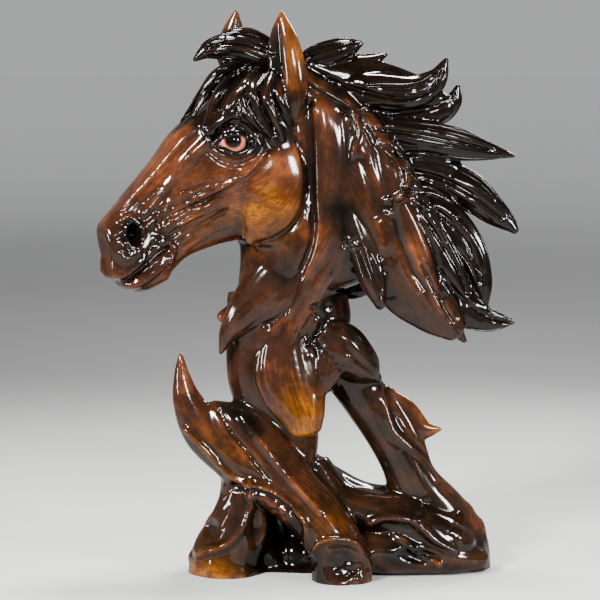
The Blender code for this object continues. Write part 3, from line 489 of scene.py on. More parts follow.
# Where the amber turns golden: x, z, half length, half width, tilt in degrees, share
GOLDEN = [
    (-26, 230, 28, 23, 0, 1.0), (-4, 106, 20, 34, 0, 1.0), (-52, 10, 40, 18, 0, 1.0),
    (70, 4, 60, 14, 0, 0.9), (-50, 76, 36, 16, -38, 0.7), (-9, 325, 14, 40, 0, 0.6),
    (15, 37, 30, 26, -30, 0.6), (-64, 226, 26, 12, 30, 0.5), (70, 80, 26, 40, 0, 0.4),
]

# Lids laid on the skin round the eye: half thickness and x, z points in the head's own plane
LIDS = {
    "upper_lid": (1.8, [
        (-60.5, 274.5), (-58.2, 278.4), (-55, 281.4), (-51, 282.9), (-46, 283.6), (-41, 282.4),
        (-37, 279.6), (-33.5, 275.8), (-31.5, 273),
    ]),
    "lower_lid": (1.2, [
        (-61, 278), (-58, 275.6), (-54.5, 273), (-49, 271), (-43, 271.2), (-38, 273.6), (-34, 276.5),
        (-32, 278.5),
    ]),
}
# Cords and loose hairs that the casting shows over the neck: half thickness and x, z points
CORDS = {
    "crest_cord": (1.3, NECK_MARKS["crest_cord"][2]),
    "crest_second": (0.9, [(2, 312), (14, 304), (26, 296), (34, 287), (40, 275)]),
    "ring": (0.8, NECK_FINE["ring_cord"][2]),
    "ring_inner": (0.6, NECK_FINE["ring_cord_inner"][2]),
    "sling": (0.8, NECK_FINE["sling"][2]),
    "sling_inner": (0.6, [(17, 303), (24, 296), (28, 286), (25, 272)]),
    "cape_edge": (1.1, NECK_FINE["cape_edge"][2]),
}
# The section of every hair, lid and cord: points round it, and share of its half thickness
HAIR_SETTINGS = {"Sides": 8, "Fullness": 1.0}
# Heights where the skin is cut into pieces, and their names
LEVELS = (-0.001, 0.095, 0.19, 0.222, 0.245, 0.268, 0.295, 0.4)
PIECE_NAMES = ("roots", "stem_and_flaps", "throat", "jaw", "cheeks", "brow", "crown")

# Lamps: place, height that it points at over the origin, width and height, watts, spread in degrees
SOFT_BOXES = {
    "key": ((-0.75, -0.95, 1.0), 0.2, (0.28, 0.28), 15, 70),
    "front": ((0.4, -1.4, 0.75), 0.2, (0.22, 0.22), 4.5, 70),
    "fill": ((1.15, -0.8, 0.55), 0.18, (0.2, 0.36), 7, 70),
    "low_left": ((-1.3, -0.5, 0.35), 0.18, (0.14, 0.3), 3.2, 70),
    "top": ((0.05, 0.1, 1.2), 0.2, (0.26, 0.18), 7, 70),
    "rear": ((0.6, 1.0, 0.8), 0.2, (0.42, 0.2), 6, 90),
}
# How far the paper and the cloth reach from the middle, and how high the cloth hangs, in metres
PAPER_RADIUS = 20
CLOTH_RADIUS = 3
CLOTH_HEIGHT = 2.2

# What each form leaves for the finish, filled in as the forms are made
GRAIN = []

# A limb's section: points round it, and rows from one station to the next
LIMB_SIDES = 64
LIMB_STEPS = 8
# Ribs round a limb that has strands: how many and how deep, and the mean that is taken off
RIBS = ((4, 1.0), (8, 1.0), (13, 0.8))
RIB_MEAN = 0.64
# Angles of the three rows that close a limb with a round tip
TIP_ANGLES = (0.5, 1.0, 1.35)
# How far to the side the casting of a strand and of a line at the skin begins
STRAND_CAST = 360
LINE_CAST = 200
# Where the face's hair runs: share of the way from top to underside, and distance to the side
FACE_GRAIN_ROWS = tuple(itertools.product((0.15, 0.5, 0.85), (-15, 15)))
# A line shows in full where the skin faces the side: slope and start of its fading away
FACING_SLOPE, FACING_START = 1.6, 0.2
# How far from its middle a softened oval is in full, and how steeply a hollow's sides fall
SOFT_FULLNESS, HOLLOW_FALL = 1.6, 1.5
# Tool strokes: how many points of the guide, how far they drift, depth and half width
STROKE_POINTS = (5, 14)
STROKE_DRIFT = 0.3
STROKE_DEPTH = (0.5, 1.2)
STROKE_WIDTH = (1.5, 2.4)
# Fine hairs: half thickness, least number of points, greatest gap to the skin, height over it
HAIR_SIZE = (0.45, 0.95)
HAIR_POINTS = 6
HAIR_GAP = 2.2
HAIR_LIFT = 0.15
# Share of the half thickness that is left at a hair's ends, and how fast it grows from there
HAIR_TIP, HAIR_GROWTH = 0.12, 0.6
# Hairs that stray beside each strand: how many, how far aside, half thickness, height over the skin
STRAY_HAIRS = 4
STRAY_ASIDE = 2.6
STRAY_SIZE = (0.5, 0.9)
STRAY_LIFT = 0.2
# Grain: rows weighed for each point, least size of a form, shift of the streaks from form to form
NEAR_ROWS = 10
LEAST_FORM = 2
FORM_SHIFT = 60
# Averagings with the neighbours for the stain, for fine and broad relief, for the seams where forms
# meet and for a line laid on the skin, and how many points the seams are widened by
STAIN_STEPS, FINE_STEPS, BROAD_STEPS, SEAM_STEPS, LINE_STEPS = 40, 6, 40, 4, 12
SEAM_WIDENING = 3
# How much fine and broad relief is rubbed bare
FINE_WEAR, BROAD_WEAR = 1.4, 0.5
# The last millimetres before the CAD's box, over which the skin is drawn in
DRAWN_IN = 8


def smooth_rows(rows, steps):
    """Rows read off a smooth curve through the given rows, every column alike."""
    rows = np.array(rows, float)
    padded = np.vstack([2 * rows[0] - rows[1], rows, 2 * rows[-1] - rows[-2]])
    out = []
    for before, start, end, after in zip(padded, padded[1:], padded[2:], padded[3:]):
        for t in np.arange(steps) / steps:
            slope = end - before
            bend = 2 * before - 5 * start + 4 * end - after
            twist = 3 * start - before - 3 * end + after
            out.append(start + 0.5 * (slope * t + bend * t**2 + twist * t**3))
    return np.array(out + [rows[-1]])


def unit(vectors):
    """The same directions at length one."""
    return vectors / np.linalg.norm(vectors, axis=-1, keepdims=True)


def axes_along(middle):
    """At each point of a line: the way along it, the way across it that is nearest Y, and the third."""
    along = unit(np.gradient(middle, axis=0))
    thick = unit(np.array([0, 1, 0]) - along[:, 1:2] * along)
    return along, thick, np.cross(along, thick)


@contextlib.contextmanager
def opened(mesh):
    """A mesh's points and faces to work on, written back at the end."""
    bm = bmesh.new()
    bm.from_mesh(mesh)
    yield bm
    bm.to_mesh(mesh)
    bm.free()


def loft(rings):
    """A closed skin over rings of points, capped at both ends."""
    mesh = bpy.data.meshes.new("loft")
    with opened(mesh) as bm:
        rows = [[bm.verts.new(point) for point in ring] for ring in rings]
        for low, high in zip(rows, rows[1:]):
            for k in range(len(low)):
                n = (k + 1) % len(low)
                bm.faces.new((low[k], low[n], high[n], high[k]))
        bm.faces.new(rows[0][::-1])
        bm.faces.new(rows[-1])
        bmesh.ops.recalc_face_normals(bm, faces=bm.faces)
    return mesh


def leave_grain(middle, axes, sizes, tone):
    """Notes a form for the finish: its grain's direction and how dark it is, by stain or by painted shade.
    """
    along, thick, wide = axes
    travelled = np.r_[0, np.cumsum(np.linalg.norm(np.diff(middle, axis=0), axis=1))]
    tones = np.full(len(middle), tone)
    GRAIN.append(np.column_stack([middle, along, wide, thick, sizes, travelled, tones]))


def round_tip(rows):
    """The rows with three more past the last, which close the form with a round tip."""
    last = rows[-1]
    way = unit(last[:3] - rows[-2, :3])
    for tilt in TIP_ANGLES:
        row = last.copy()
        row[:3] += way * last[3:5].min() * math.sin(tilt)
        row[3:5] *= math.cos(tilt)
        rows = np.vstack([rows, row])
    return rows


def limb(stations, tone=None, mouth=0.0, strands=0.0, seed=0):
    """A branch, flap or lock: an oval section that changes along a smooth middle line.

    A sixth number in a station hollows the section towards the mouth's direction, as in an ear.
    Strands are rounded ribs round the section, sharp between, that drift as they run along it.
    """
    rows = round_tip(smooth_rows(stations, LIMB_STEPS))
    middle = rows[:, :3] * SHARE
    along, thick, wide = axes_along(middle)
    turn = np.linspace(0, 2 * math.pi, LIMB_SIDES, endpoint=False)
    across = wide[:, None] * (np.cos(turn) * rows[:, 3:4])[..., None]
    across += thick[:, None] * (np.sin(turn) * rows[:, 4:5])[..., None]
    if rows.shape[1] > 5:
        away = np.angle(np.exp(1j * (turn - mouth)))
        across *= (1 - rows[:, 5:6] * np.exp(-((away / EAR_MOUTH_WIDTH) ** 2)))[..., None]
    if strands:
        rng = np.random.default_rng(seed)
        way = np.linspace(0, 1, len(rows))[:, None]
        wave = np.zeros((len(rows), LIMB_SIDES))
        for count, share in RIBS:
            drift = rng.uniform(0, 6.3) + rng.uniform(-2.5, 2.5) * way
            wave += share * (np.abs(np.cos(count * turn / 2 + drift)) - RIB_MEAN)
        across *= (1 + strands * wave)[..., None]
    if tone is not None:
        leave_grain(middle, (along, thick, wide), rows[:, 3:5] * SHARE, tone)
    return loft(middle[:, None] + across * SHARE)


def limbs(group, strands, stain=0.4):
    """All limbs of a group; a form that the table of form tones doesn't name takes the group's own stain.
    """
    return [
        limb(stations, FORM_STAIN_AND_SHADE.get(name, stain), strands=strands, seed=n)
        for n, (name, stations) in enumerate(group.items())
    ]


def laid_on(stations, skin, side):
    """A strand's stations moved to where they lie on the skin, seen square from one side."""
    rows = []
    y = 0
    for x, lift, z, *size in stations:
        start = Vector((x * SHARE, side * STRAND_CAST * SHARE, z * SHARE))
        hit = skin.ray_cast(start, Vector((0, -side, 0)))[0]
        if hit:
            y = hit.y / SHARE + side * lift
        rows.append((x, y, z, *size))
    return rows


def mirrored(stations):
    """The same form on the far side."""
    return [(x, -y, z, *size) for x, y, z, *size in stations]


def skull():
    """Sections square to the head's plane of symmetry, lofted from the nose to the poll."""
    rings = []
    for row in smooth_rows(SKULL, 8):
        top = np.array([row[0], 0, row[1]])
        bottom = np.array([row[2], 0, row[3]])
        left = [top + (bottom - top) * h - np.array([0, w, 0]) for h, w in zip(SKULL_LEVELS, row[4:])]
        right = [point * (1, -1, 1) for point in left[::-1]]
        rings.append(smooth_rows([top, *left, bottom, *right, top], 6)[:-1])
    return loft(np.array(rings) * SHARE)


def skull_grain():
    """The face's hair runs from the brow down to the nose, in three rows on each cheek."""
    rows = smooth_rows(SKULL, 4)[::-1]
    for share, aside in FACE_GRAIN_ROWS:
        middle = np.column_stack([
            rows[:, 0] + (rows[:, 2] - rows[:, 0]) * share,
            np.full(len(rows), aside),
            rows[:, 1] + (rows[:, 3] - rows[:, 1]) * share,
        ])
        middle = to_world(middle * SHARE)
        sizes = np.full((len(rows), 2), (22 * SHARE, 26 * SHARE))
        leave_grain(middle, axes_along(middle), sizes, FORM_STAIN_AND_SHADE["face"])


def to_world(points):
    """Points of the head's own plane, as they stand in the work."""
    return points @ HEAD_MATRIX.T + np.array(HEAD_PIVOT) * SHARE


def head_frame(vectors, is_point):
    """Points or directions of the work, as seen from the head's own plane."""
    shifted = vectors - np.array(HEAD_PIVOT) * SHARE * is_point
    return shifted @ HEAD_BACK.T


def body_frame(vectors, is_point):
    """The same for the neck and the roots, whose plane is the work's own."""
    return vectors


def ball(side, size, segments):
    """The eyeball, with the clear front of the eye standing a little proud of it."""
    x, y, z, radius = EYEBALL
    mesh = bpy.data.meshes.new("eyeball")
    with opened(mesh) as bm:
        bmesh.ops.create_uvsphere(bm, u_segments=segments * 2, v_segments=segments, radius=1)
        bmesh.ops.rotate(bm, verts=bm.verts, matrix=Matrix.Rotation(math.pi / 2, 3, "X"))
        for vert in bm.verts:
            front = max(0, vert.co.y * side)
            vert.co *= radius * size * SHARE * (1 + 0.05 * front**10)
        bmesh.ops.translate(bm, verts=bm.verts, vec=Vector((x, side * y, z)) * SHARE)
    return mesh


def turned(meshes):
    """Meshes made in the head's own plane, turned with the head."""
    for mesh in meshes:
        mesh.transform(Matrix.Rotation(HEAD_TURN, 4, "Z"))
        mesh.transform(Matrix.Translation(Vector(HEAD_PIVOT) * SHARE))
    return meshes


def shown(name, data):
    """A new object of the scene for a mesh, a lamp or a camera."""
    thing = bpy.data.objects.new(name, data)
    bpy.context.scene.collection.objects.link(thing)
    return thing


def made_real(holder):
    """The mesh that an object has after its modifiers; the object itself goes."""
    graph = bpy.context.evaluated_depsgraph_get()
    result = bpy.data.meshes.new_from_object(holder.evaluated_get(graph))
    bpy.data.objects.remove(holder)
    return result


def apply_modifiers(mesh, *settings):
    """The mesh after a list of modifiers, each one a type and its values."""
    holder = shown("holder", mesh)
    for kind, values in settings:
        modifier = holder.modifiers.new(kind.lower(), kind)
        for key, value in values.items():
            setattr(modifier, key, value)
    result = made_real(holder)
    bpy.data.meshes.remove(mesh)
    return result


def fused(meshes, step, smooth_steps):
    """One skin over overlapping closed meshes, its joins softened."""
    joined = bpy.data.meshes.new("joined")
    with opened(joined) as bm:
        for mesh in meshes:
            bm.from_mesh(mesh)
            bpy.data.meshes.remove(mesh)
    return apply_modifiers(
        joined,
        ("REMESH", {"mode": "VOXEL", "voxel_size": step}),
        ("SMOOTH", {"factor": 0.5, "iterations": smooth_steps}),
    )


def skin_arrays(mesh):
    """The places and the outward directions of a mesh's points."""
    count = len(mesh.vertices)
    points = np.empty(count * 3)
    normals = np.empty(count * 3)
    mesh.vertices.foreach_get("co", points)
    mesh.vertices.foreach_get("normal", normals)
    return points.reshape(-1, 3), normals.reshape(-1, 3)


def move_points(mesh, points):
    """Gives the mesh's points new places."""
    mesh.vertices.foreach_set("co", points.ravel())
    mesh.update()


def skin_tree(mesh):
    """The skin in a form that lines can be cast at."""
    bm = bmesh.new()
    bm.from_mesh(mesh)
    tree = BVHTree.FromBMesh(bm)
    bm.free()
    return tree


def from_line(points, line):
    """How far each point is from a line, seen square to X and Z."""
    best = np.full(len(points), np.inf)
    for start, end in zip(line, line[1:]):
        way = end - start
        share = np.clip((points - start) @ way / (way @ way), 0, 1)
        best = np.minimum(best, np.linalg.norm(points - start - share[:, None] * way, axis=1))
    return best


def carve(mesh, marks, frame_of):
    """Ridges (above zero) and grooves (below zero) along lines, on the near and the far side."""
    points, normals = skin_arrays(mesh)
    seen = frame_of(points, 1)[:, [0, 2]] / SHARE
    outward = np.abs(frame_of(normals, 0)[:, 1])
    facing = np.clip(FACING_SLOPE * outward - FACING_START, 0, 1)
    rise = np.zeros(len(points))
    order = np.argsort(seen[:, 0])
    sorted_x = seen[order, 0]
    for radius, height, line in marks:
        line = smooth_rows(line, 4)
        low, high = line.min(axis=0) - radius, line.max(axis=0) + radius
        strip = order[np.searchsorted(sorted_x, low[0]):np.searchsorted(sorted_x, high[0])]
        close = strip[(seen[strip, 1] > low[1]) & (seen[strip, 1] < high[1])]
        reach = np.clip(from_line(seen[close], line) / radius, 0, 1)
        rise[close] += height * (1 - reach**2) ** 2
    points += normals * (rise * facing * SHARE)[:, None]
    move_points(mesh, points)


def press(mesh, hollows, frame_of):
    """Oval hollows pushed in square to the plane of symmetry, from the near and the far side."""
    points, normals = skin_arrays(mesh)
    seen = frame_of(points, 1)[:, [0, 2]] / SHARE
    side = frame_of(normals, 0)[:, 1]
    depth = np.zeros(len(points))
    for x, z, long, short, tilt, deep in hollows.values():
        depth += deep * oval(seen, x, z, long, short, tilt) ** HOLLOW_FALL
    inward = frame_of(np.array([[0.0, 1.0, 0.0]]), 0)[0]
    inward = np.array([-inward[0], inward[1], 0])
    points -= inward * (depth * np.clip(side * 2, -1, 1) * SHARE)[:, None]
    move_points(mesh, points)


def refine(mesh, low_x, high_x, low_z, high_z):
    """Halves the skin's steps where it shows its finest lines, between two widths and two heights."""
    with opened(mesh) as bm:
        chosen = {
            vert for vert in bm.verts
            if low_x < vert.co.x / SHARE < high_x and low_z < vert.co.z / SHARE < high_z
        }
        edges = [edge for edge in bm.edges if edge.verts[0] in chosen and edge.verts[1] in chosen]
        bmesh.ops.subdivide_edges(bm, edges=edges, cuts=1, use_grid_fill=True, use_single_edge=True)


def soften(mesh, spots, steps):
    """Evens the skin out in oval spots: x, z, half length, half width."""
    points, _ = skin_arrays(mesh)
    seen = points[:, [0, 2]] / SHARE
    share = np.zeros(len(points))
    for x, z, long, short in spots:
        share = np.maximum(share, oval(seen, x, z, long, short, 0))
    points += (spread_evenly(mesh, points, steps) - points) * np.clip(SOFT_FULLNESS * share, 0, 1)[:, None]
    move_points(mesh, points)


def oval(seen, x, z, long, short, tilt):
    """One at an oval's middle, falling to nothing at its edge."""
    cos, sin = math.cos(math.radians(tilt)), math.sin(math.radians(tilt))
    out = seen - (x, z)
    reach = np.hypot((out @ (cos, sin)) / long, (out @ (-sin, cos)) / short)
    return 1 - np.clip(reach, 0, 1) ** 2


def tool_strokes(group, count, spread, seed, height, broad=1.0):
    """Short fine grooves and ridges beside guide lines, as a carver's tool leaves them."""
    rng = np.random.default_rng(seed)
    guides = [smooth_rows(line, 6) for _, _, line in group.values()]
    marks = []
    for _ in range(count):
        line = guides[rng.integers(len(guides))]
        first = rng.integers(0, max(1, len(line) - STROKE_POINTS[0]))
        last = min(len(line), first + rng.integers(*STROKE_POINTS))
        part = line[first:last]
        aside = unit(np.gradient(part, axis=0))[:, ::-1] * (1, -1)
        away = rng.normal(0, spread)
        drift = away + np.linspace(0, rng.normal(0, STROKE_DRIFT * spread), len(part))[:, None]
        rise = height * rng.choice((-1.2, 1)) * rng.uniform(*STROKE_DEPTH)
        marks.append((broad * rng.uniform(*STROKE_WIDTH), rise, part + aside * drift))
    return marks


def burl_dimples(count, seed):
    """Small round pits and bumps crowded in each burl."""
    rng = np.random.default_rng(seed)
    marks = []
    for x, z, radius in BURLS:
        for _ in range(count):
            turn, out = rng.uniform(0, 2 * math.pi), radius * math.sqrt(rng.uniform())
            spot = np.array([x + out * math.cos(turn), z + out * math.sin(turn)])
            rise = rng.choice((-1.0, 0.7)) * rng.uniform(0.4, 1.0)
            marks.append((rng.uniform(1.8, 3.2), rise, [spot, spot + (0.4, 0.4)]))
    return marks


def one_shell(mesh):
    """Drops what the fusing left loose inside the skin."""
    with opened(mesh) as bm:
        waiting = set(bm.verts)
        shells = []
        while waiting:
            shell = []
            queue = [waiting.pop()]
            while queue:
                vert = queue.pop()
                shell.append(vert)
                for edge in vert.link_edges:
                    other = edge.other_vert(vert)
                    if other in waiting:
                        waiting.remove(other)
                        queue.append(other)
            shells.append(shell)
        shells.sort(key=len)
        for shell in shells[:-1]:
            bmesh.ops.delete(bm, geom=shell, context="VERTS")


def flat_foot(mesh):
    """Cuts the feet flat at the table."""
    with opened(mesh) as bm:
        geometry = bm.verts[:] + bm.edges[:] + bm.faces[:]
        bmesh.ops.bisect_plane(
            bm, geom=geometry, dist=1e-6, plane_co=(0, 0, 0), plane_no=(0, 0, 1), clear_inner=True
        )
        rim = [edge for edge in bm.edges if edge.is_boundary]
        bmesh.ops.holes_fill(bm, edges=rim, sides=0)
        bmesh.ops.triangulate(bm, faces=[face for face in bm.faces if len(face.verts) > 4])


def edge_ends(mesh):
    """The numbers of the points at both ends of each edge."""
    ends = np.empty(len(mesh.edges) * 2, int)
    mesh.edges.foreach_get("vertices", ends)
    return ends.reshape(-1, 2).T


def spread_evenly(mesh, values, steps):
    """Values at a mesh's points, each averaged with its neighbours a few times over."""
    first, last = edge_ends(mesh)
    count = len(values)
    links = np.bincount(first, minlength=count) + np.bincount(last, minlength=count)
    links = np.maximum(links, 1)
    values = np.array(values, float)
    columns = values.reshape(count, -1).T.copy()
    for _ in range(steps):
        for column in columns:
            total = np.bincount(first, column[last], count) + np.bincount(last, column[first], count)
            column[:] = 0.5 * column + 0.5 * total / links
    return columns.T.reshape(values.shape)


def put_attribute(mesh, name, values):
    """Keeps a number or a direction at each point for the materials."""
    kind, key = ("FLOAT", "value") if values.ndim == 1 else ("FLOAT_VECTOR", "vector")
    attribute = mesh.attributes.new(name, kind, "POINT")
    attribute.data.foreach_set(key, values.astype(np.float32).ravel())


def lay(line, skin, side, in_head, lift=0.0):
    """A line of x, z points cast square onto the skin from one side."""
    start = np.array([(x, side * LINE_CAST, z) for x, z in smooth_rows(line, 5)]) * SHARE
    way = np.array([0.0, -side, 0.0])
    if in_head:
        start, way = to_world(start), HEAD_MATRIX @ way
    laid = []
    for point in start:
        hit, normal, _, _ = skin.ray_cast(Vector(point), Vector(way))
        if hit:
            laid.append(hit + normal * lift * SHARE)
    laid = np.array(laid)
    for _ in range(LINE_STEPS):
        if len(laid) > 2:
            laid[1:-1] = (laid[:-2] + 2 * laid[1:-1] + laid[2:]) / 4
    return laid


def hairs_on(stations, skin, count, rng):
    """Fine hairs that run along a lock, each hugging the skin."""
    rows = smooth_rows(stations, LIMB_STEPS)
    middle = rows[:, :3] * SHARE
    _, thick, wide = axes_along(middle)
    lines = []
    for _ in range(count):
        first = rng.integers(0, len(rows) // 2)
        last = len(rows) - rng.integers(1, len(rows) // 4)
        turn = rng.uniform(0, 2 * math.pi) + rng.uniform(-0.7, 0.7) * np.linspace(0, 1, len(rows))
        course = middle + wide * (np.cos(turn) * rows[:, 3] * SHARE)[:, None]
        course += thick * (np.sin(turn) * rows[:, 4] * SHARE)[:, None]
        size = rng.uniform(*HAIR_SIZE)
        laid = []
        for point in course[first:last]:
            hit, normal, _, gap = skin.find_nearest(Vector(point))
            if gap > HAIR_GAP * SHARE:
                break
            laid.append(hit + normal * HAIR_LIFT * SHARE)
        if len(laid) > HAIR_POINTS:
            lines.append((size, np.array(laid)))
    return lines


def find_grain(points):
    """For each point, its place along and round the form that it belongs to, and that form's tone."""
    rows = np.vstack(GRAIN)
    ids = np.repeat(np.arange(len(GRAIN)), [len(g) for g in GRAIN])
    tree = KDTree(len(rows))
    for n, row in enumerate(rows):
        tree.insert(row[:3], n)
    tree.balance()
    near = np.array([[hit[1] for hit in tree.find_n(point, NEAR_ROWS)] for point in points])
    picked = rows[near]
    out = points[:, None] - picked[..., :3]
    a, w, t = ((out * picked[..., n:n + 3]).sum(-1) for n in (3, 6, 9))
    size = np.maximum(picked[..., 12:14], LEAST_FORM * SHARE)
    far = np.hypot(w / size[..., 0], t / size[..., 1]) + np.abs(a) / size.mean(-1)
    pick = (np.arange(len(points)), far.argmin(1))
    chosen = picked[pick]
    form = ids[near[pick]]
    grain = np.column_stack([w[pick], t[pick], chosen[:, 14] + a[pick]]) / SHARE
    grain[:, 2] += FORM_SHIFT * form
    return grain, chosen[:, 15], form


def eye(name, side):
    """The painted eye, with the clear front standing proud of the ball."""
    x, y, z, radius = EYEBALL
    mesh = turned([ball(side, 1.03, 32)])[0]
    mesh.name = name
    center = to_world(np.array([[x, side * y, z]]) * SHARE)[0]
    gaze = HEAD_MATRIX @ np.array([GAZE[0], GAZE[1] * side, GAZE[2]])
    points, _ = skin_arrays(mesh)
    toward = unit(points - center) @ unit(gaze)
    put_attribute(mesh, "from_pupil", np.arccos(np.clip(toward, -1, 1)))
    for polygon in mesh.polygons:
        polygon.use_smooth = True
    return mesh


def casting():
    """The whole work as one skin: forms, then marks, then locks and flaps, then the finest lines."""
    face = [skull()]
    skull_grain()
    for stations in FACE.values():
        face += [limb(stations), limb(mirrored(stations))]
    core = fused(turned(face) + limbs(NECK, 0.015) + limbs(ROOTS, 0.025), CORE_STEP, 6)
    press(core, FACE_HOLLOWS, head_frame)
    carve(core, FACE_MARKS.values(), head_frame)
    carve(core, FACE_FINE.values(), head_frame)
    press(core, ROOT_HOLLOWS, body_frame)
    for marks in (NECK_MARKS, NECK_FINE, ROOT_MARKS):
        carve(core, marks.values(), body_frame)
    trim = turned([ball(side, 1, 24) for side in (-1, 1)])
    for name, stations in EARS.items():
        trim.append(limb(stations, FORM_STAIN_AND_SHADE[name], EAR_MOUTHS[name]))
    trim += limbs(FLAPS, 0.045) + limbs(MANE, 0.06, MANE_STAIN) + limbs(WISPS, 0.06)
    skin = skin_tree(core)
    for side in (-1, 1):
        laid = {name: laid_on(stations, skin, side) for name, stations in STRANDS.items()}
        trim += limbs(laid, 0.05, STRAND_STAIN)
    both = {name: mirrored((FLAPS | MANE)[name]) for name in FLAPS | MANE if name in BOTH_SIDES}
    trim += limbs(both, 0.06, MANE_STAIN)
    body = fused([core] + trim, SKIN_STEP, 1)
    soften(body, SOFT_JOINS, 24)
    refine(body, *FINE_FACE)
    soften(body, SOFT_FACE, 3)
    carve(body, LID_MARKS.values(), head_frame)
    carve(body, MANE_MARKS.values(), body_frame)
    guides = {name: FACE_MARKS[name] for name in STROKED}
    # Guide lines, then how many strokes, how far aside, seed, height and how broad
    for lines, strokes, frame_of in (
        (NECK_MARKS | NECK_FINE, (16, 5, 1, 0.2), body_frame),
        (ROOT_MARKS, (30, 7, 2, 0.25), body_frame),
        (MANE_MARKS, (84, 5, 3, 0.4), body_frame),
        (guides, (30, 3, 4, 0.35, 1.3), head_frame),
        (NOSE_WRINKLES, (26, 3.5, 6, 0.5, 1.3), head_frame),
    ):
        carve(body, tool_strokes(lines, *strokes), frame_of)
    carve(body, burl_dimples(9, 5), body_frame)
    soften(body, SOFT_MUZZLE, 3)
    one_shell(body)
    body = apply_modifiers(body, ("SMOOTH", {"factor": 0.5, "iterations": 2}))
    flat_foot(body)
    return body


def fine_hairs(skin):
    """Courses of the fine hairs, lids and cords that lie on the skin: half thickness and points."""
    rng = np.random.default_rng(11)
    courses = []
    for name, stations in (MANE | WISPS).items():
        courses += hairs_on(stations, skin, 16, rng)
        if name in BOTH_SIDES:
            courses += hairs_on(mirrored(stations), skin, 12, rng)
    for side in (-1, 1):
        courses += [(size, lay(line, skin, side, True)) for size, line in LIDS.values()]
        courses += [(size, lay(line, skin, side, False)) for size, line in CORDS.values()]
        for stations in STRANDS.values():
            for _ in range(STRAY_HAIRS):
                aside = rng.uniform(-STRAY_ASIDE, STRAY_ASIDE, 2)
                line = [(x + aside[0], z + aside[1]) for x, _, z, *_ in stations]
                courses.append((rng.uniform(*STRAY_SIZE), lay(line, skin, side, False, STRAY_LIFT)))
    return [(size, course) for size, course in courses if len(course) > 4]


def hair_tree(material):
    """Sweeps a round section along each course, as thick as the course says."""
    tree = bpy.data.node_groups.new("hairs_along_courses", "GeometryNodeTree")
    for name, way, kind in (
        ("Geometry", "INPUT", "Geometry"), ("Sides", "INPUT", "Int"), ("Fullness", "INPUT", "Float"),
        ("Geometry", "OUTPUT", "Geometry"),
    ):
        tree.interface.new_socket(name, in_out=way, socket_type="NodeSocket" + kind)
    given = add(tree, "NodeGroupInput")
    course = add(tree, "GeometryNodeMeshToCurve", {"Mesh": given.outputs["Geometry"]})
    size = add(tree, "GeometryNodeInputNamedAttribute", {"Name": "half_thickness"}, data_type="FLOAT")
    full = maths(tree, "MULTIPLY", size.outputs["Attribute"], given.outputs["Fullness"])
    ring = add(tree, "GeometryNodeCurvePrimitiveCircle", {
        "Resolution": given.outputs["Sides"], "Radius": 1.0,
    })
    swept = add(tree, "GeometryNodeCurveToMesh", {
        "Curve": course.outputs["Curve"], "Profile Curve": ring.outputs["Curve"], "Scale": full,
        "Fill Caps": True,
    })
    smooth = add(tree, "GeometryNodeSetShadeSmooth", {"Geometry": swept.outputs["Mesh"]})
    real = add(tree, "GeometryNodeRealizeInstances", {"Geometry": smooth.outputs["Geometry"]})
    dressed = add(tree, "GeometryNodeSetMaterial", {
        "Geometry": real.outputs["Geometry"], "Material": material,
    })
    add(tree, "NodeGroupOutput", {"Geometry": dressed.outputs["Geometry"]})
    return tree


def swept_hairs(courses, material):
    """One mesh of round hairs, thin at both ends."""
    mesh = bpy.data.meshes.new("courses")
    with opened(mesh) as bm:
        layer = bm.verts.layers.float.new("half_thickness")
        for size, course in courses:
            before = None
            for share, point in zip(np.linspace(0, 1, len(course)), course):
                vert = bm.verts.new(point)
                vert[layer] = size * SHARE * max(HAIR_TIP, math.sin(math.pi * share)) ** HAIR_GROWTH
                if before:
                    bm.edges.new((before, vert))
                before = vert
    holder = shown("courses", mesh)
    modifier = holder.modifiers.new("hairs", "NODES")
    modifier.node_group = hair_tree(material)
    for socket in modifier.node_group.interface.items_tree:
        if socket.name in HAIR_SETTINGS:
            modifier[socket.identifier] = HAIR_SETTINGS[socket.name]
    return made_real(holder)


def finish_attributes(mesh, worn, lighter):
    """Stain with painted shade, wear and grain, kept on the skin for the materials."""
    points, normals = skin_arrays(mesh)
    grain, tone, form = find_grain(points)
    first, last = edge_ends(mesh)
    crossing = form[first] != form[last]
    seam = np.zeros(len(points))
    seam[first[crossing]] = seam[last[crossing]] = 1
    for _ in range(SEAM_WIDENING):
        seam[first] = np.maximum(seam[first], seam[last])
        seam[last] = np.maximum(seam[last], seam[first])
    seen = points[:, [0, 2]] / SHARE
    tone = spread_evenly(mesh, tone, STAIN_STEPS) + lighter
    golden = np.zeros(len(points))
    # The spots add painted shade in recesses, hollows and the nostril, and rubbed or dark stain elsewhere
    for values, spots in ((tone, STAIN_AND_SHADE_SPOTS), (golden, GOLDEN)):
        for x, z, long, short, tilt, change in spots:
            values += change * oval(seen, x, z, long, short, tilt)
    fine, broad = (
        ((points - spread_evenly(mesh, points, steps)) * normals).sum(1) / SHARE
        for steps in (FINE_STEPS, BROAD_STEPS)
    )
    # The stain attribute holds painted shade as well as stain
    put_attribute(mesh, "stain", np.clip(tone, 0, 1))
    put_attribute(mesh, "golden", np.clip(golden, 0, 1))
    put_attribute(mesh, "wear", worn * np.clip(fine * FINE_WEAR + broad * BROAD_WEAR, -1, 1))
    put_attribute(mesh, "grain", grain)
    put_attribute(mesh, "grain_shows", 1 - spread_evenly(mesh, seam, SEAM_STEPS))


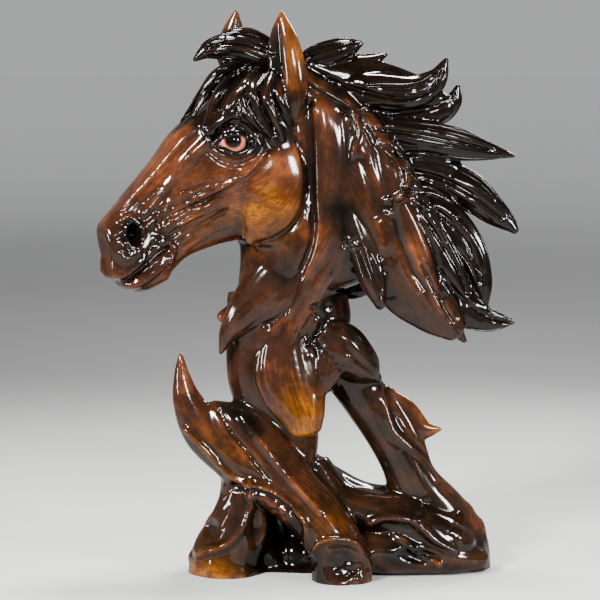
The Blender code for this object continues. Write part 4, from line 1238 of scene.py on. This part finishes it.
def cut_level(mesh, cuts):
    """The skin cut level into closed pieces, so that each is light enough, with no seam to see."""
    with opened(mesh) as bm:
        for height in cuts[1:-1]:
            geometry = bm.verts[:] + bm.edges[:] + bm.faces[:]
            bmesh.ops.bisect_plane(
                bm, geom=geometry, dist=1e-7, plane_co=(0, 0, height), plane_no=(0, 0, 1)
            )
    _, normals = skin_arrays(mesh)
    pieces = []
    for low, high in zip(cuts, cuts[1:]):
        piece = mesh.copy()
        with opened(piece) as bm:
            place = bm.verts.layers.int.new("place")
            for n, vert in enumerate(bm.verts):
                vert[place] = n + 1
            outside = [face for face in bm.faces if not low < face.calc_center_median().z < high]
            bmesh.ops.delete(bm, geom=outside, context="FACES")
            rim = [edge for edge in bm.edges if edge.is_boundary]
            caps = bmesh.ops.holes_fill(bm, edges=rim, sides=0)["faces"]
            for face in bm.faces:
                face.smooth = True
            for face in caps:
                face.smooth = False
            bmesh.ops.triangulate(bm, faces=caps)
        keep_normals(piece, normals)
        pieces.append(piece)
    return pieces


def keep_normals(piece, normals):
    """Gives a cut piece the smooth directions of the whole skin."""
    places = np.empty(len(piece.vertices), int)
    piece.attributes["place"].data.foreach_get("value", places)
    piece.normals_split_custom_set_from_vertices(normals[places - 1].tolist())
    piece.attributes.remove(piece.attributes["place"])


def add(tree, kind, inputs=None, **settings):
    """Adds a node, sets it, and gives each input a value or a link."""
    made = tree.nodes.new(kind)
    for key, value in settings.items():
        setattr(made, key, value)
    for key, value in (inputs or {}).items():
        socket = made.inputs[key]
        if key in ("A", "B"):
            socket = [s for s in made.inputs if s.name == key and s.enabled][0]
        if isinstance(value, bpy.types.NodeSocket):
            tree.links.new(value, socket)
        else:
            socket.default_value = value
    return made


def maths(tree, operation, *values):
    """The result of a sum on up to three values."""
    return add(tree, "ShaderNodeMath", dict(enumerate(values)), operation=operation).outputs[0]


def noise(tree, place, scale, detail, **others):
    """Soft random patches between 0 and 1."""
    values = {"Vector": place, "Scale": scale, "Detail": detail, **others}
    return add(tree, "ShaderNodeTexNoise", values).outputs["Fac"]


def attribute(tree, name, output="Fac"):
    """What the skin keeps under a name."""
    return add(tree, "ShaderNodeAttribute", attribute_name=name).outputs[output]


def ramp_colour(tree, value, stops):
    """A colour read off a ramp's stops: each a position and a hex colour."""
    ramp = add(tree, "ShaderNodeValToRGB", {"Fac": value})
    elements = ramp.color_ramp.elements
    while len(elements) < len(stops):
        elements.new(0.5)
    for element, (position, code) in zip(elements, stops):
        element.position = position
        element.color = colour(code)
    return ramp.outputs["Color"]


def colour(code):
    """An sRGB hex value as the linear colour that Blender works in."""
    parts = [int(code[n:n + 2], 16) / 255 for n in (1, 3, 5)]
    return (*(c / 12.92 if c <= 0.04045 else ((c + 0.055) / 1.055) ** 2.4 for c in parts), 1)


def new_material(name):
    """A material with its nodes, its shader, and the place in the object."""
    material = bpy.data.materials.new(name)
    material.use_nodes = True
    tree = material.node_tree
    place = add(tree, "ShaderNodeTexCoord").outputs["Object"]
    return material, tree, tree.nodes["Principled BSDF"].inputs, place


def stained_lacquered_resin():
    """Cast resin, brushed with a near-black wood stain, rubbed back to amber on what stands out, then
    sprayed with gloss lacquer. The eye sees dark streaks that follow the carving, amber edges, and
    sharp white reflections on a skin that is a little uneven. The stain that it reads also carries
    painted shade, darkened into recesses, hollows and the nostril.
    """
    material, tree, shader, place = new_material("stained_lacquered_resin")
    stain, golden, wear, shows = (
        attribute(tree, name) for name in ("stain", "golden", "wear", "grain_shows")
    )
    grain = attribute(tree, "grain", "Vector")

    # The grain runs in millimetres: brush streaks about 1 mm wide and 20 mm long
    along = add(tree, "ShaderNodeMapping", {"Vector": grain, "Scale": (1.0, 1.0, 0.05)}).outputs[0]
    streaks = noise(tree, along, 0.8, 5, Roughness=0.6, Distortion=0.4)
    # Wiped patches about 15 mm across, dabs of about 4 mm, and stain settled in pores of about 1 mm
    patches = noise(tree, place, 65, 4)
    dabs = noise(tree, place, 240, 3)
    pores = noise(tree, place, 900, 2)

    streak_weight = maths(tree, "MULTIPLY", shows, 0.42)
    # The stain attribute holds painted shade as well as stain: it is darkened in the recesses, the cave,
    # the ear's hollow and the nostril
    tone = stain
    for source, weight, middle in (
        (wear, 0.17, 0.0), (streaks, streak_weight, 0.5), (patches, 0.5, 0.5), (dabs, 0.2, 0.5),
    ):
        tone = maths(tree, "MULTIPLY_ADD", maths(tree, "SUBTRACT", source, middle), weight, tone)
    red_brown = ramp_colour(tree, tone, [
        (0.0, "#050302"), (0.2, "#0d0704"), (0.4, "#1f0f07"), (0.56, "#381b0c"), (0.72, "#5b3116"),
        (0.88, "#845029"), (1.0, "#a87748"),
    ])
    gold_brown = ramp_colour(tree, tone, [
        (0.0, "#050302"), (0.2, "#0d0602"), (0.4, "#231102"), (0.56, "#442303"), (0.72, "#6d4004"),
        (0.88, "#93630c"), (1.0, "#b58d38"),
    ])
    colours = {"Factor": golden, "A": red_brown, "B": gold_brown}
    mixed = add(tree, "ShaderNodeMix", colours, data_type="RGBA")
    tree.links.new([s for s in mixed.outputs if s.enabled][0], shader["Base Color"])

    # Pores, brush marks and dabs stand in the resin by tenths of a millimetre; the lacquer levels most
    fine = add(tree, "ShaderNodeMapping", {"Vector": grain, "Scale": (1.0, 1.0, 0.06)}).outputs[0]
    brushed = maths(tree, "MULTIPLY", noise(tree, fine, 1.1, 2), shows)
    height = maths(tree, "MULTIPLY_ADD", pores, 0.15, brushed)
    height = maths(tree, "MULTIPLY_ADD", dabs, 0.3, height)
    for strength, target in ((0.4, "Normal"), (0.05, "Coat Normal")):
        bump = add(tree, "ShaderNodeBump", {"Height": height, "Strength": strength, "Distance": 0.0006})
        tree.links.new(bump.outputs["Normal"], shader[target])
    # Under the lacquer the resin itself reflects nothing to speak of, because both bend light alike
    shader["Roughness"].default_value = 0.45
    shader["IOR"].default_value = 1.5
    shader["Specular IOR Level"].default_value = 0.0
    shader["Coat Weight"].default_value = 0.48
    shader["Coat Roughness"].default_value = 0.1
    shader["Coat IOR"].default_value = 1.5
    return material


def painted_eye():
    """Resin painted by hand and lacquered: a black pupil, a dark rim, flesh pink towards the lids. The
    eye sees a wet ball with one crisp reflection.
    """
    material, tree, shader, place = new_material("painted_lacquered_eye")
    # The brush leaves an edge uneven by a few tenths of a millimetre
    uneven = noise(tree, place, 500, 2)
    edge = maths(tree, "MULTIPLY_ADD", uneven, 0.12, attribute(tree, "from_pupil"))
    tree.links.new(ramp_colour(tree, edge, [
        (0.0, "#040303"), (0.52, "#050303"), (0.6, "#1c0c08"), (0.7, "#6a2f22"), (0.84, "#b06a54"),
        (1.0, "#8a4332"),
    ]), shader["Base Color"])
    shader["Roughness"].default_value = 0.4
    shader["IOR"].default_value = 1.5
    shader["Specular IOR Level"].default_value = 0.0
    shader["Coat Weight"].default_value = 0.35
    shader["Coat Roughness"].default_value = 0.03
    return material


def graded_paper():
    """Matt studio paper, printed from pale grey in the middle to white at its far edge, which evens
    out the lamps. The eye sees a plain pale ground, a soft shadow and no shine.
    """
    material, tree, shader, place = new_material("graded_paper")
    out = add(tree, "ShaderNodeVectorMath", {0: place}, operation="LENGTH").outputs["Value"]
    tree.links.new(ramp_colour(tree, maths(tree, "DIVIDE", out, PAPER_RADIUS), [
        (0.0, "#8c8c8a"), (0.024, "#9a9a98"), (0.075, "#cecece"), (0.16, "#f8f8f8"),
    ]), shader["Base Color"])
    shader["Roughness"].default_value = 0.9
    return material


def black_cloth():
    """Matt black cloth under the ceiling. The eye sees only what it keeps out of the lacquer."""
    material, _, shader, _ = new_material("black_cloth")
    shader["Base Color"].default_value = colour("#1c1c1c")
    shader["Roughness"].default_value = 0.95
    return material


def sheet(name, radius, height, material):
    """A level round sheet over or under the work."""
    mesh = bpy.data.meshes.new(name)
    with opened(mesh) as bm:
        bmesh.ops.create_circle(bm, cap_ends=True, segments=96, radius=radius)
        bmesh.ops.translate(bm, verts=bm.verts, vec=(0, 0, height))
    return placed(name, mesh, material)


def placed(name, mesh, material):
    """An object of the scene for a mesh, in its material."""
    mesh.name = name
    mesh.materials.clear()
    mesh.materials.append(material)
    return shown(name, mesh)


def aimed(thing, place, target):
    """Stands a camera or a lamp at its place and points it at a target."""
    thing.location = place
    thing.rotation_euler = (Vector(target) - Vector(place)).to_track_quat("-Z", "Y").to_euler()


def stand_camera():
    """The photograph's view: a little above the work, square to its side."""
    data = bpy.data.cameras.new("camera")
    camera = shown("camera", data)
    aimed(camera, (-0.0045, -1.6, 0.3437), (-0.0045, 0, 0.1755))
    data.sensor_width = 36
    data.lens = 150.8
    data.dof.use_dof = False
    bpy.context.scene.camera = camera


def soft_box(name, place, aim_height, size, watts, spread):
    """A soft box, with a grid that keeps its light within a cone."""
    data = bpy.data.lights.new(name, "AREA")
    data.spread = math.radians(spread)
    data.shape = "RECTANGLE"
    data.size, data.size_y = size
    data.energy = watts
    aimed(shown(name, data), place, (0, 0, aim_height))


def studio():
    """Small bright boxes for crisp reflections, dim light all round, pale paper and black cloth."""
    for name, box in SOFT_BOXES.items():
        soft_box(name, *box)
    world = bpy.data.worlds.new("studio")
    world.use_nodes = True
    light = world.node_tree.nodes["Background"].inputs
    light["Color"].default_value = colour("#f4f5f6")
    light["Strength"].default_value = 0.5
    bpy.context.scene.world = world
    sheet("floor", PAPER_RADIUS, 0, graded_paper())
    sheet("ceiling", CLOTH_RADIUS, CLOTH_HEIGHT, black_cloth())


def keep_within(mesh, box):
    """Draws in what a ridge or a tool mark has pushed past the box, over the last few millimetres."""
    points, _ = skin_arrays(mesh)
    for axis in range(3):
        for end, side in ((0, -1), (1, 1)):
            limit = side * box[end][axis]
            reach = side * points[:, axis]
            soft = limit - DRAWN_IN * SHARE
            over = reach > soft
            if reach.max() > limit and over.any():
                squeeze = (limit - soft) / (reach.max() - soft)
                points[over, axis] = side * (soft + (reach[over] - soft) * squeeze)
    move_points(mesh, points)


def place_sculpture():
    """The casting in its pieces, its fine hairs and its eyes, all in place of the CAD's one node."""
    skin = casting()
    keep_within(skin, cad_box)
    finish_attributes(skin, 1, 0)
    resin = stained_lacquered_resin()
    hairs = swept_hairs(fine_hairs(skin_tree(skin)), resin)
    finish_attributes(hairs, 0, -0.12)
    made = [placed("fine_hairs", hairs, resin)]
    for name, piece in zip(PIECE_NAMES, cut_level(skin, LEVELS)):
        made.append(placed(name, piece, resin))
    paint = painted_eye()
    for name, side in (("left_eye", -1), ("right_eye", 1)):
        made.append(placed(name, eye(name, side), paint))
    for piece in made:
        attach(piece, "root")
        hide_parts("horse_head_sculpture")


stand_camera()
studio()
place_sculpture()
